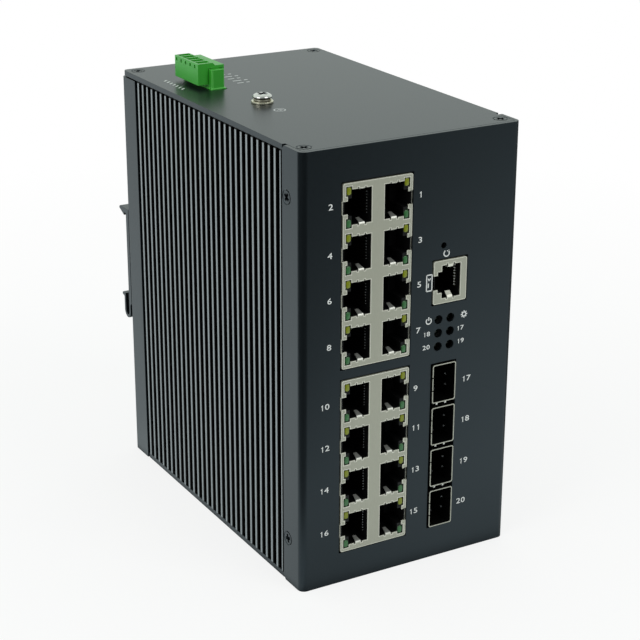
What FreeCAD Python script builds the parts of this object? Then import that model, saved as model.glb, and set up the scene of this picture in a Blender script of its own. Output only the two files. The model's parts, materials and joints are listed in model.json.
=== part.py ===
import FreeCAD
import Part
import math
import os

from FreeCAD import Placement, Rotation, Vector

# Rail-mount network switch in a finned metal housing.
# Lengths are millimetres. Pieces are drawn from the housing's front lower left corner, with x to
# the right, y to the rear and z up. On saving they move to the object's own frame, whose origin
# lies under the middle of the whole object, on the surface that it stands on.

# Housing
WIDTH = 86.5
HEIGHT = 159.0
DEPTH = 140.5
SHEET = 1.5
PLATE = 2.0
FRONT_BEND = 2.5
REAR_BEND = 1.8
FRONT_FLANGE = 12.5
REAR_FLANGE = 12.0
FLANGE_CORNER = 1.2
PLATE_INSET = 0.4
PLATE_GAP = 0.6
SEAM = 0.3
PLAY = 0.1

# Heat sinks
FIN_PITCH = 4.0
GROOVE = 2.1
GROOVE_COUNT = 29
FIRST_GROOVE = 14.4
FIRST_FIN = 1.3
FIN_HEIGHT = 7.0
SINK_THICKNESS = 9.5
POST_THICKNESS = 12.0
POST_LENGTH = 12.0

# Fasteners. Small repeated hardware is drawn with flat sides, which keeps it light.
SIDES = 12
HIDDEN_SIDES = 6
THREAD = 1.5
THREAD_PLAY = 0.05
HOLE_PLAY = 0.2
SUNK_HEAD = 2.7
SUNK_LENGTH = 8.0
PAN_HEAD = 2.75
PAN_HEIGHT = 1.9
PAN_LENGTH = 5.0
NUT_HEIGHT = 2.4
PLATE_SCREW_INSET = 4.6
PLATE_SCREW_FRONT = 6.0
PLATE_SCREW_REAR = 5.2
FLANGE_SCREW_Y = 9.5
FLANGE_SCREW_Z = (17.3, 142.0)
REAR_SCREW_X = 9.5

# Front cut-outs
CUT_MARGIN = 0.45
RESET_X = 56.0
RESET_Z = 119.2
RESET_HOLE = 1.1
LIGHT_X = (54.7, 59.6)
LIGHT_Z = (82.3, 87.3, 92.3)
LIGHT_HOLE = 1.65

# Stacked jack blocks
JACK_LEFT = 15.7
JACK_RIGHT = 42.7
JACK_HEIGHT = 65.2
JACK_DEPTH = 27.0
JACK_PROUD = 0.3
JACK_BOTTOMS = {"lower": 12.0, "upper": 81.5}
TIN = 0.3
PORT_PITCH = 16.15
PORT_ROWS = 4
PORT_HALF = 6.05
PORT_NEAR = 2.5
PORT_FAR = 10.1
PORT_DEEP = 14.0
LATCH_HALF = 2.2
LATCH_DEEP = 9.0
TAB_WIDTH = 1.8
LATCH_REACH = 0.6
LATCH_SPACE_HALF = 3.0
WINDOW_EDGE = 1.1
WINDOW_WALL = 0.35
WINDOW_INNER = 3.8
WINDOW_OUTER = 7.15
LIGHT_FRONT = 0.2
LIGHT_DEEP = 6.0
CONTACT_PITCH = 1.02
CONTACT_COUNT = 8
CONTACT_WIDTH = 0.4
CONTACT_FRONT = 2.5
CONTACT_END = 10.2
CONTACT_LIFT = 3.0
CONTACT_ROOT = 0.9
TONGUE_WIDTH = 2.4
TONGUE_DEEP = 4.0
TONGUE_SHIFT = 0.3
JACK_TONGUE_RISE = 0.5
CONSOLE_TONGUE_RISE = 1.2
CAN_EASE = 0.35

# Console jack
CONSOLE_LEFT = 52.0
CONSOLE_RIGHT = 65.6
CONSOLE_BOTTOM = 98.2
CONSOLE_TOP = 113.9
CONSOLE_DEPTH = 21.0
CONSOLE_PORT_LEFT = 55.4
CONSOLE_PORT_RIGHT = 63.0
CONSOLE_STEP_LEFT = 53.7
CONSOLE_STEP_HALF = 3.8
CONSOLE_LATCH_HALF = 2.55

# Cages for pluggable modules
CAGE_LEFT = 52.5
CAGE_RIGHT = 62.2
CAGE_HALF = 7.25
CAGE_PITCH = 16.23
CAGE_COUNT = 4
CAGE_LOWEST = 19.75
CAGE_PROUD = 0.7
CAGE_DEPTH = 47.0
CAGE_SHEET = 0.35
CAGE_EASE = 0.5
CAGE_CUT = (52.05, 62.65)
LATCH_SLOT_HALF = 2.45
LATCH_SLOT_WIDTH = 0.4
LATCH_SLOT_DEEP = 8.0
FINGER_X = (54.4, 58.0)
FINGER_WIDTH = 1.2
FINGER_RISE = 0.55
FINGER_Y = (0.2, 2.2, 4.2)
CAGE_FEET_Y = (14.0, 32.0)
SOCKET_DEEP = 11.0
SOCKET_HALF = 5.5
SOCKET_HEIGHT = 6.2

# Boards
BOARD = 1.6
MAIN_BOARD_RIGHT = 15.0
UPLINK_BOARD_RIGHT = 51.8
MAIN_BOARD_Y = (8.0, 132.0)
MAIN_BOARD_Z = (4.5, 155.0)
UPLINK_BOARD_Y = (6.0, 92.0)
UPLINK_BOARD_Z = (4.5, 125.0)
PILLAR_FLATS = 5.5
SHARED_PILLARS = ((16.0, 8.3), (32.0, 119.0), (72.0, 8.3), (72.0, 119.0))
OUTER_PILLARS = ((124.5, 10.0), (124.5, 149.0))
LINK_Y = 84.8
LINK_Z = (48.0, 92.0)
LINK_SOCKET = 6.0
LINK_FLOOR = 2.5
SWITCH_CHIP = (84.0, 79.0)
SWITCH_CHIP_HALF = 13.5
SWITCH_CHIP_HEIGHT = 2.4
LINE_CHIPS = ((48.0, 40.0), (48.0, 118.0))
LINE_CHIP_HALF = 10.0
LINE_CHIP_HEIGHT = 1.4
PAD_INSET = 1.0
MEMORY_CHIP_Y = (99.0, 109.0)
MEMORY_CHIP_Z = (72.5, 85.5)
CRYSTAL_Y = (61.5, 66.5)
CRYSTAL_Z = (77.4, 80.6)
CRYSTAL_EASE = 0.4
LOW_PART_HEIGHT = 1.2
INDUCTORS = ((98.0, 132.0), (114.0, 132.0))
INDUCTOR_HALF = 6.0
INDUCTOR_HEIGHT = 7.0
INDUCTOR_EASE = 1.2
CAPACITORS = ((96.0, 114.0), (108.0, 114.0), (120.0, 114.0))
CAN_RADIUS = 5.0
CAN_HEIGHT = 12.5

# Indicator lamps and reset switch behind the front panel
HOLDER_Y = (4.0, 10.0)
HOLDER_RIM = 2.4
RESET_PLUNGER = 0.9
RESET_GUIDE = 1.8
RESET_TRAVEL = 0.3
RESET_BODY_HALF = 2.8
RESET_BODY_DEEP = 4.0

# Power terminal
POLE_PITCH = 3.81
POLE_COUNT = 5
POLE_MIDDLE = 105.6
HEADER_Y = (92.8, 117.2)
HEADER_X = (15.0, 20.2)
HEADER_Z = (150.0, 166.2)
NOSE_X = (16.1, 19.1)
PLUG_Y = (95.1, 114.9)
PLUG_LEFT = 10.6
PLUG_RIGHT = 21.2
PLUG_TOP = 168.4
STRIP_TOP = 167.4
PLUG_BOTTOM = 160.5
SKIRT_BOTTOM = 164.0
STRIP_LEFT = 17.6
LIP_X = (14.5, 20.7)
LIP_Y = (92.2, 117.8)
LIP_EASE = 0.4
HEADER_FLOOR = 1.4
PIN_THICK = 1.0
PIN_TOP = 160.0
POCKET_WALL = 0.8
POCKET_HALF = 1.45
POCKET_DEEP = 1.3
SHAFT_HALF = 1.3
RELEASE_HALF = 0.6
CLIP_HEIGHT = 4.5
CLIP_REACH = 1.6
CLIP_THICK = 0.3

# Ground set
GROUND_X = 21.8
GROUND_Y = 66.6
GROUND_SIDES = 18
GROUND_THREAD = 1.5
GROUND_HEAD = 3.5
GROUND_HEAD_HEIGHT = 2.4
GROUND_HEAD_EASE = 0.9
FLAT_WASHER = (4.0, 0.8)
SPRING_WASHER = (3.3, 0.9)
WASHER_GAP = 0.5

# Rail bracket, heights on the rear panel
BRACKET_INSET = 0.4
BRACKET_THICK = 2.5
BRACKET_TOP = 102.6
HOOK_REACH = 8.7
HOOK_ROUND = 1.1
HOOK_BEAK = 99.5
HOOK_BEAK_Y = 4.0
HOOK_ROOF = 100.6
LIP_TOP = 65.9
LEG_BOTTOM = 56.0
LEG_THICK = 1.3
LEG_BEND = 2.9
PLATE_FOOT = 61.9
BRACKET_SCREWS = ((18.0, 74.0), (68.5, 74.0), (18.0, 92.0), (68.5, 92.0))

MIDDLE_X = WIDTH / 2
MIDDLE_Y = (DEPTH + HOOK_REACH - CAGE_PROUD) / 2
JACK_MIDDLE = (JACK_LEFT + JACK_RIGHT) / 2
CONSOLE_MIDDLE = (CONSOLE_BOTTOM + CONSOLE_TOP) / 2
PIN_X = (NOSE_X[0] + NOSE_X[1]) / 2
ALONG_X = Vector(1, 0, 0)
ALONG_Y = Vector(0, 1, 0)
ALONG_Z = Vector(0, 0, 1)
LEFTWARD = Vector(-1, 0, 0)
FORWARD = Vector(0, -1, 0)
DOWN = Vector(0, 0, -1)

os.makedirs("parts", exist_ok=True)


def save(name, shape):
    """Write one piece, moved to the object's own frame."""
    shape.translated(Vector(-MIDDLE_X, -MIDDLE_Y, 0)).exportStep("parts/" + name + ".step")


def save_group(name, shapes):
    """Write identical or related solids as one node."""
    save(name, Part.makeCompound(shapes))


def about(middle, half):
    """Lower and upper limits on both sides of a middle."""
    return (middle - half, middle + half)


def block(x, y, z):
    """Box between the lower and upper limits given on each axis."""
    return Part.makeBox(x[1] - x[0], y[1] - y[0], z[1] - z[0], Vector(x[0], y[0], z[0]))


def eased_block(x, y, z, axis, ease):
    """Box whose four edges along an axis are cut off by an ease."""
    plain = block(x, y, z)
    edges = [e for e in plain.Edges if abs(e.tangentAt(e.FirstParameter).dot(axis)) > 0.9]
    return plain.makeChamfer(ease, edges)


def polygon(points):
    """Flat face with straight edges."""
    return Part.Face(Part.makePolygon(points + points[:1]))


def prism(points, reach):
    """Straight extrusion of a polygon."""
    return polygon(points).extrude(reach)


def ring(radius, centre, axis, sides):
    """Corners of a regular polygon round an axis."""
    turn = Rotation(ALONG_Z, axis)
    angles = [2 * math.pi * i / sides for i in range(sides)]
    return [centre + turn.multVec(Vector(radius * math.cos(a), radius * math.sin(a), 0)) for a in angles]


def bar(radius, start, end, sides=SIDES):
    """Many-sided bar or hole tool between two points, for small repeated hardware."""
    return prism(ring(radius, start, end - start, sides), end - start)


def hex_bar(flats, start, end):
    """Hexagonal bar between two points."""
    return bar(flats / math.sqrt(3), start, end, 6)


def taper(wide, narrow, start, end):
    """Many-sided cone between two points."""
    low = ring(wide, start, end - start, SIDES)
    high = ring(narrow, end, end - start, SIDES)
    faces = [polygon(low[::-1]), polygon(high)]
    faces += [polygon([low[i - 1], low[i], high[i], high[i - 1]]) for i in range(SIDES)]
    return Part.makeSolid(Part.makeShell(faces))


def fused(shapes):
    """One solid from shapes that touch or overlap."""
    return shapes[0].multiFuse(shapes[1:]).removeSplitter()


def flipped(shape):
    """The same piece on the housing's other side."""
    return shape.mirror(Vector(MIDDLE_X, 0, 0), ALONG_X)


def with_flipped(shapes):
    """Pieces of the left side together with those of the right."""
    return shapes + [flipped(s) for s in shapes]


def rounded_upright(shape, corners, radius):
    """Round the upright edges that stand on the given (x, y) corners."""
    edges = []
    for edge in shape.Edges:
        ends = [v.Point for v in edge.Vertexes]
        for x, y in corners:
            if all(abs(p.x - x) < 1e-4 and abs(p.y - y) < 1e-4 for p in ends):
                edges.append(edge)
    return shape.makeFillet(radius, edges)


def sunk_form(head, thread, length):
    """Countersunk screw, or the tool for its hole, with the head's face at the origin, pointing down."""
    neck = DOWN * (head - thread)
    shank = bar(thread, neck, DOWN * length, HIDDEN_SIDES)
    return fused([taper(head, thread, Vector(0, 0, 0), neck), shank])


def sunk_screw():
    return sunk_form(SUNK_HEAD, THREAD, SUNK_LENGTH)


def sunk_hole(depth):
    return sunk_form(SUNK_HEAD + PLAY, THREAD + PLAY, depth)


def pan_screw():
    """Pan-head screw with the underside of its head at the origin, pointing down."""
    seat = Vector(0, 0, 0)
    head = bar(PAN_HEAD, seat, ALONG_Z * PAN_HEIGHT, HIDDEN_SIDES)
    return fused([head, bar(THREAD, seat, DOWN * PAN_LENGTH, HIDDEN_SIDES)])


def driven(tool, places, direction):
    """Copies of a downward screw or hole tool at the given places, turned to a direction."""
    turn = Rotation(DOWN, direction)
    copies = []
    for place in places:
        copy = tool.copy()
        copy.Placement = Placement(place, turn)
        copies.append(copy)
    return copies


def folded_panel(bend, flange, height):
    """Sheet folded to a U that opens to the rear."""
    outside = block((0, WIDTH), (0, flange), (0, height))
    outside = rounded_upright(outside, [(0, 0), (WIDTH, 0)], bend)
    left = SHEET
    right = WIDTH - SHEET
    inside = block((left, right), (SHEET, flange + 1), (-1, height + 1))
    inside = rounded_upright(inside, [(left, SHEET), (right, SHEET)], bend - SHEET)
    return outside.cut(inside)


def eased_flanges(panel, flange, ease):
    """Cut off the free corners of a folded panel's flanges."""
    edges = [e for e in panel.Edges if all(abs(v.Y - flange) < 1e-4 for v in e.Vertexes)]
    level = [e for e in edges if e.BoundBox.ZLength < 1e-4]
    return panel.makeChamfer(ease, level)


def plate_screw_places(z):
    """The four corner screws of the top or bottom plate."""
    rows = (PLATE_SCREW_FRONT, DEPTH - PLATE_SCREW_REAR)
    sides = (PLATE_SCREW_INSET, WIDTH - PLATE_SCREW_INSET)
    return [Vector(x, y, z) for y in rows for x in sides]


def flange_screw_places():
    """The front panel's screws on its left flange."""
    return [Vector(0, FLANGE_SCREW_Y, z) for z in FLANGE_SCREW_Z]


def rear_screw_places():
    """The rear panel's screws into both heat sinks."""
    sides = (REAR_SCREW_X, WIDTH - REAR_SCREW_X)
    return [Vector(x, DEPTH, z) for x in sides for z in FLANGE_SCREW_Z]


def cage_middles():
    """Heights of the cages, from the top one down."""
    return [CAGE_LOWEST + i * CAGE_PITCH for i in reversed(range(CAGE_COUNT))]


def widened(limits, margin):
    """Limits moved apart by a margin on both sides."""
    return (limits[0] - margin, limits[1] + margin)


def make_front_panel():
    panel = eased_flanges(folded_panel(FRONT_BEND, FRONT_FLANGE, HEIGHT), FRONT_FLANGE, FLANGE_CORNER)
    through = (-1, SHEET + 1)
    middles = cage_middles()
    console = (CONSOLE_BOTTOM, CONSOLE_TOP)
    cages = (middles[-1] - CAGE_HALF, middles[0] + CAGE_HALF)
    jack_sides = widened((JACK_LEFT, JACK_RIGHT), CUT_MARGIN)
    console_sides = widened((CONSOLE_LEFT, CONSOLE_RIGHT), CUT_MARGIN)
    cuts = [block(console_sides, through, widened(console, CUT_MARGIN))]
    cuts.append(block(CAGE_CUT, through, widened(cages, CUT_MARGIN)))
    for bottom in JACK_BOTTOMS.values():
        cuts.append(block(jack_sides, through, widened((bottom, bottom + JACK_HEIGHT), CUT_MARGIN)))
    holes = [(RESET_HOLE, RESET_X, RESET_Z)]
    holes += [(LIGHT_HOLE, x, z) for x in LIGHT_X for z in LIGHT_Z]
    for radius, x, z in holes:
        cuts.append(bar(radius, Vector(x, through[0], z), Vector(x, through[1], z)))
    cuts += with_flipped(driven(sunk_hole(SHEET + 1), flange_screw_places(), ALONG_X))
    save("front_panel", panel.cut(cuts))
    save_group("front_panel_screws", with_flipped(driven(sunk_screw(), flange_screw_places(), ALONG_X)))


def make_rear_panel():
    panel = folded_panel(REAR_BEND, REAR_FLANGE, HEIGHT - PLATE - SEAM)
    panel = panel.mirror(Vector(0, DEPTH / 2, 0), ALONG_Y)
    cuts = driven(sunk_hole(SHEET + 1), rear_screw_places(), FORWARD)
    for x, z in BRACKET_SCREWS:
        rear = Vector(x, DEPTH, z)
        cuts.append(bar(THREAD + HOLE_PLAY, rear, rear + FORWARD * (SHEET + 1), HIDDEN_SIDES))
    save("rear_panel", panel.cut(cuts))
    save_group("rear_panel_screws", driven(sunk_screw(), rear_screw_places(), FORWARD))


def sink_outline():
    """Left heat sink seen from above: two corner posts, a base and a comb of fins."""
    front = SHEET
    rear = DEPTH - SHEET
    rear_post = DEPTH - POST_LENGTH
    ease = FRONT_BEND - SHEET + PLAY
    fin = FIRST_GROOVE - FIRST_FIN
    points = [(POST_THICKNESS, front), (SHEET + ease, front), (SHEET, front + ease), (SHEET, fin)]
    for i in range(GROOVE_COUNT):
        groove = FIRST_GROOVE + i * FIN_PITCH
        points += [(0, fin), (0, groove), (FIN_HEIGHT, groove), (FIN_HEIGHT, groove + GROOVE)]
        fin = groove + GROOVE
    ease = REAR_BEND - SHEET + PLAY
    points += [(SHEET, fin), (SHEET, rear - ease), (SHEET + ease, rear), (POST_THICKNESS, rear)]
    points += [(POST_THICKNESS, rear_post), (SINK_THICKNESS, rear_post)]
    points += [(SINK_THICKNESS, POST_LENGTH), (POST_THICKNESS, POST_LENGTH)]
    return [Vector(x, y, PLATE) for x, y in points]


def make_heat_sinks():
    sink = prism(sink_outline(), Vector(0, 0, HEIGHT - 2 * PLATE))
    bore = THREAD + THREAD_PLAY
    deep = SUNK_LENGTH + 1
    cuts = []
    for y in (PLATE_SCREW_FRONT, DEPTH - PLATE_SCREW_REAR):
        foot = Vector(PLATE_SCREW_INSET, y, 0)
        cuts.append(bar(bore, foot, foot + ALONG_Z * HEIGHT, HIDDEN_SIDES))
    for z in FLANGE_SCREW_Z:
        side = Vector(0, FLANGE_SCREW_Y, z)
        back = Vector(REAR_SCREW_X, DEPTH, z)
        cuts.append(bar(bore, side, side + ALONG_X * deep, HIDDEN_SIDES))
        cuts.append(bar(bore, back, back + FORWARD * deep, HIDDEN_SIDES))
    sink = sink.cut(cuts)
    save("left_heat_sink", sink)
    save("right_heat_sink", flipped(sink))


def make_top_plate():
    heights = (HEIGHT - PLATE, HEIGHT)
    nested = SHEET + PLAY
    sides = (PLATE_INSET, WIDTH - PLATE_INSET)
    rear = DEPTH - PLATE_INSET
    wide = block(sides, (FRONT_FLANGE + PLATE_GAP, rear), heights)
    wide = rounded_upright(wide, [(x, rear) for x in sides], REAR_BEND)
    narrow = block((nested, WIDTH - nested), (nested, DEPTH / 2), heights)
    narrow = rounded_upright(narrow, [(nested, nested), (WIDTH - nested, nested)], FRONT_BEND - SHEET)
    cuts = driven(sunk_hole(PLATE + 1), plate_screw_places(HEIGHT), DOWN)
    cuts.append(block(widened(LIP_X, HOLE_PLAY), widened(LIP_Y, HOLE_PLAY), (0, HEIGHT + 1)))
    ground = Vector(GROUND_X, GROUND_Y, HEIGHT + 1)
    cuts.append(bar(GROUND_THREAD + HOLE_PLAY, ground, ground + DOWN * (PLATE + 2)))
    save("top_plate", fused([wide, narrow]).cut(cuts))
    save_group("top_plate_screws", driven(sunk_screw(), plate_screw_places(HEIGHT), DOWN))


def make_bottom_plate():
    heights = (0, PLATE)
    nested = SHEET + PLAY
    sides = (nested, WIDTH - nested)
    wide_sides = (PLATE_INSET, WIDTH - PLATE_INSET)
    wide = block(wide_sides, (FRONT_FLANGE + PLATE_GAP, DEPTH - REAR_FLANGE - PLATE_GAP), heights)
    narrow = block(sides, (nested, DEPTH - nested), heights)
    narrow = rounded_upright(narrow, [(x, nested) for x in sides], FRONT_BEND - SHEET)
    narrow = rounded_upright(narrow, [(x, DEPTH - nested) for x in sides], REAR_BEND - SHEET)
    holes = driven(sunk_hole(PLATE + 1), plate_screw_places(0), ALONG_Z)
    save("bottom_plate", fused([wide, narrow]).cut(holes))
    save_group("bottom_plate_screws", driven(sunk_screw(), plate_screw_places(0), ALONG_Z))


def bracket_outline():
    """Rail bracket from its left end: hook on top, plate, and a spring leg with a lip below."""
    def at(back, z):
        return Vector(BRACKET_INSET, DEPTH + back, z)

    def path(points):
        return [Part.LineSegment(a, b).toShape() for a, b in zip(points, points[1:])]

    inner_bend = LEG_BEND - LEG_THICK
    leg_front = BRACKET_THICK - LEG_THICK
    bend_y = leg_front + LEG_BEND
    bend_z = LEG_BOTTOM + LEG_BEND
    leg_rear = bend_y + LEG_BEND
    slot_rear = leg_rear - LEG_THICK
    lip_low = LIP_TOP - LEG_THICK
    nose = HOOK_REACH - HOOK_ROUND
    swell = HOOK_ROUND * math.sin(math.pi / 4)
    top = path([at(0, BRACKET_TOP), at(nose, BRACKET_TOP)])
    tip = at(HOOK_REACH, BRACKET_TOP - HOOK_ROUND)
    over_tip = Part.Arc(at(nose, BRACKET_TOP), at(nose + swell, BRACKET_TOP - HOOK_ROUND + swell), tip)
    hook = path([tip, at(HOOK_BEAK_Y + LIP_EASE, HOOK_BEAK), at(HOOK_BEAK_Y, HOOK_BEAK),
                 at(HOOK_BEAK_Y, HOOK_ROOF), at(BRACKET_THICK, HOOK_ROOF), at(BRACKET_THICK, bend_z)])
    inside = Part.Arc(at(BRACKET_THICK, bend_z), at(bend_y, bend_z - inner_bend), at(slot_rear, bend_z))
    lip = path([at(slot_rear, bend_z), at(slot_rear, LIP_TOP), at(HOOK_REACH - LIP_EASE, LIP_TOP),
                at(HOOK_REACH, LIP_TOP - LIP_EASE), at(HOOK_REACH, lip_low + LIP_EASE),
                at(HOOK_REACH - LIP_EASE, lip_low), at(leg_rear + LIP_EASE, lip_low),
                at(leg_rear, lip_low - LIP_EASE), at(leg_rear, bend_z)])
    outside = Part.Arc(at(leg_rear, bend_z), at(bend_y, LEG_BOTTOM), at(leg_front, bend_z))
    back = path([at(leg_front, bend_z), at(leg_front, PLATE_FOOT), at(0, PLATE_FOOT + leg_front),
                 at(0, BRACKET_TOP)])
    edges = top + [over_tip.toShape()] + hook + [inside.toShape()] + lip + [outside.toShape()] + back
    return Part.Face(Part.Wire(edges))


def make_rail_bracket():
    bracket = bracket_outline().extrude(Vector(WIDTH - 2 * BRACKET_INSET, 0, 0))
    places = [Vector(x, DEPTH + BRACKET_THICK, z) for x, z in BRACKET_SCREWS]
    save("rail_bracket", bracket.cut(driven(sunk_hole(BRACKET_THICK + 1), places, FORWARD)))
    save_group("rail_bracket_screws", driven(sunk_screw(), places, FORWARD))
    nuts = []
    for x, z in BRACKET_SCREWS:
        rear = Vector(x, DEPTH - SHEET, z)
        front = rear + FORWARD * NUT_HEIGHT
        thread = bar(THREAD + THREAD_PLAY, rear, front, HIDDEN_SIDES)
        nuts.append(hex_bar(PILLAR_FLATS, rear, front).cut(thread))
    save_group("rail_bracket_nuts", nuts)


def make_ground_set():
    """Ground screw with its head's edge eased, two washers and a nut under the plate."""
    foot = Vector(GROUND_X, GROUND_Y, HEIGHT)
    low = foot + ALONG_Z * FLAT_WASHER[1]
    high = low + ALONG_Z * SPRING_WASHER[1]
    top = high + ALONG_Z * GROUND_HEAD_HEIGHT
    hole = bar(GROUND_THREAD + THREAD_PLAY, top, foot + DOWN * SUNK_LENGTH)
    save("ground_flat_washer", bar(FLAT_WASHER[0], foot, low, GROUND_SIDES).cut(hole))
    slit = ALONG_Y * WASHER_GAP
    lean = high + ALONG_Y * SPRING_WASHER[1]
    gap = prism([low, low + slit, lean + slit, lean], ALONG_X * (SPRING_WASHER[0] + 1))
    save("ground_spring_washer", bar(SPRING_WASHER[0], low, high, GROUND_SIDES).cut([hole, gap]))
    head = bar(GROUND_HEAD, high, top, GROUND_SIDES)
    head = head.makeChamfer(GROUND_HEAD_EASE, [e for e in head.Edges if e.BoundBox.ZMin > top.z - 0.01])
    save("ground_screw", fused([head, bar(GROUND_THREAD, high, high + DOWN * SUNK_LENGTH)]))
    under = foot + DOWN * PLATE
    save("ground_nut", hex_bar(PILLAR_FLATS, under, under + DOWN * NUT_HEIGHT).cut(hole))


def port_copies(shape, bottom):
    """Copies of a left-column shape, drawn about height 0, for all jacks of one block."""
    first = bottom + JACK_HEIGHT / 2 - PORT_PITCH * (PORT_ROWS - 1) / 2
    copies = []
    for row in range(PORT_ROWS):
        left = shape.translated(Vector(0, 0, first + row * PORT_PITCH))
        copies += [left, left.mirror(Vector(JACK_MIDDLE, 0, 0), ALONG_X)]
    return copies


def contact_row(wall, middle):
    """Spring contacts of one jack: wedges that rise from the wall on their right into the mouth."""
    root = CONTACT_FRONT + CONTACT_ROOT
    outline = [(wall, CONTACT_FRONT), (wall - CONTACT_LIFT, CONTACT_END), (wall, root)]
    strips = []
    for i in range(CONTACT_COUNT):
        z = middle + (i - (CONTACT_COUNT - 1) / 2) * CONTACT_PITCH - CONTACT_WIDTH / 2
        strips.append(prism([Vector(x, y, z) for x, y in outline], ALONG_Z * CONTACT_WIDTH))
    return strips


def tongue(x, edge, inward, rise):
    """Grounding spring bent into a jack's mouth from its edge; inward is +1 up or -1 down."""
    front = -JACK_PROUD
    tip = edge + inward * rise
    path = [(front, edge), (front + rise, tip), (TONGUE_DEEP, tip), (0, edge)]
    return prism([Vector(x - TONGUE_WIDTH / 2, y, z) for y, z in path], ALONG_X * TONGUE_WIDTH)


def make_jack_shield(name, bottom):
    """Folded tin can over a jack block, with a mouth, lamp windows and springs for each jack."""
    top = bottom + JACK_HEIGHT
    far = JACK_MIDDLE - PORT_FAR
    skin = (-1, 0)
    can = eased_block((JACK_LEFT, JACK_RIGHT), (-JACK_PROUD, JACK_DEPTH), (bottom, top), ALONG_Y, CAN_EASE)
    inside = widened((JACK_LEFT, JACK_RIGHT), -TIN)
    hollow = block(inside, (0, JACK_DEPTH + 1), widened((bottom, top), -TIN))
    board_side = block((0, inside[0]), (MAIN_BOARD_Y[0] - 1, JACK_DEPTH + 1), widened((bottom, top), 1))
    mouth = block((far, JACK_MIDDLE - PORT_NEAR), skin, about(0, PORT_HALF))
    beside = block((JACK_LEFT + WINDOW_EDGE, far), skin, about(0, WINDOW_OUTER))
    tabs = block((JACK_LEFT, JACK_LEFT + TAB_WIDTH), skin, about(0, WINDOW_INNER))
    notch = block((0, JACK_LEFT + TAB_WIDTH), (-1, MAIN_BOARD_Y[0]), about(0, LATCH_HALF))
    clear = block((JACK_LEFT + TIN, far), (0, MAIN_BOARD_Y[0]), about(0, WINDOW_OUTER))
    openings = fused([mouth, beside.cut(tabs), notch.cut(clear)])
    shield = can.cut([hollow, board_side] + port_copies(openings, bottom))
    spring_x = JACK_MIDDLE - (PORT_NEAR + PORT_FAR) / 2 + TONGUE_SHIFT
    springs = []
    for inward in (-1, 1):
        springs += port_copies(tongue(spring_x, -inward * PORT_HALF, inward, JACK_TONGUE_RISE), bottom)
    save(name + "_jack_shield", fused([shield] + springs))


def make_jack_block(name, bottom):
    make_jack_shield(name, bottom)
    far = JACK_MIDDLE - PORT_FAR
    near = JACK_MIDDLE - PORT_NEAR
    heights = widened((bottom, bottom + JACK_HEIGHT), -TIN - PLAY)
    sides = widened((JACK_LEFT, JACK_RIGHT), -TIN - PLAY)
    body = block(sides, (0, JACK_DEPTH), heights)
    foot = block((MAIN_BOARD_RIGHT, sides[0]), (MAIN_BOARD_Y[0], JACK_DEPTH), heights)
    plug_space = block((far, near), (-1, PORT_DEEP), about(0, PORT_HALF))
    latch_space = block((JACK_LEFT + LATCH_REACH, far), (-1, LATCH_DEEP), about(0, LATCH_SPACE_HALF))
    hollows = port_copies(fused([plug_space, latch_space]), bottom)
    lamp_x = (JACK_LEFT + WINDOW_EDGE, far - WINDOW_WALL)
    windows = {"yellow": (WINDOW_INNER, WINDOW_OUTER), "green": (-WINDOW_OUTER, -WINDOW_INNER)}
    for colour, limits in windows.items():
        hollows += port_copies(block(lamp_x, (-1, LIGHT_DEEP), limits), bottom)
        lamp = block(lamp_x, (LIGHT_FRONT, LIGHT_DEEP), limits)
        save_group(name + "_jack_" + colour + "_lights", port_copies(lamp, bottom))
    save(name + "_jack_housing", fused([body, foot]).cut(hollows))
    strips = [c for strip in contact_row(near, 0) for c in port_copies(strip, bottom)]
    save_group(name + "_jack_contacts", strips)


def console_mouth(left, deep):
    """Mouth of the console jack with its two steps for the plug's latch."""
    middle = CONSOLE_MIDDLE
    latch = (-1, min(deep, LATCH_DEEP))
    space = block((CONSOLE_PORT_LEFT, CONSOLE_PORT_RIGHT), (-1, deep), about(middle, PORT_HALF - PLAY))
    step = block((CONSOLE_STEP_LEFT, CONSOLE_PORT_LEFT), latch, about(middle, CONSOLE_STEP_HALF))
    notch = block((left, CONSOLE_STEP_LEFT), latch, about(middle, CONSOLE_LATCH_HALF))
    return fused([space, step, notch])


def make_console_jack():
    limits = (CONSOLE_BOTTOM, CONSOLE_TOP)
    outside = (CONSOLE_LEFT, CONSOLE_RIGHT)
    inside = widened(outside, -TIN)
    can = eased_block(outside, (-JACK_PROUD, CONSOLE_DEPTH), limits, ALONG_Y, CAN_EASE)
    hollow = block(inside, (0, CONSOLE_DEPTH + 1), widened(limits, -TIN))
    board_side = block((0, inside[0]), (UPLINK_BOARD_Y[0] - 1, CONSOLE_DEPTH + 1), widened(limits, 1))
    shield = can.cut([hollow, board_side, console_mouth(CONSOLE_LEFT - 1, 0)])
    spring_x = (CONSOLE_PORT_LEFT + CONSOLE_PORT_RIGHT) / 2 - TONGUE_SHIFT
    springs = []
    for inward in (-1, 1):
        edge = CONSOLE_MIDDLE - inward * (PORT_HALF - PLAY)
        springs.append(tongue(spring_x, edge, inward, CONSOLE_TONGUE_RISE))
    save("console_jack_shield", fused([shield] + springs))

    sides = widened(inside, -PLAY)
    heights = widened(limits, -TIN - PLAY)
    body = block(sides, (0, CONSOLE_DEPTH), heights)
    foot = block((UPLINK_BOARD_RIGHT, sides[0]), (UPLINK_BOARD_Y[0], CONSOLE_DEPTH), heights)
    mouth = console_mouth(CONSOLE_LEFT + LATCH_REACH, PORT_DEEP)
    save("console_jack_housing", fused([body, foot]).cut(mouth))
    save_group("console_jack_contacts", contact_row(CONSOLE_PORT_RIGHT, CONSOLE_MIDDLE))


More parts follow.
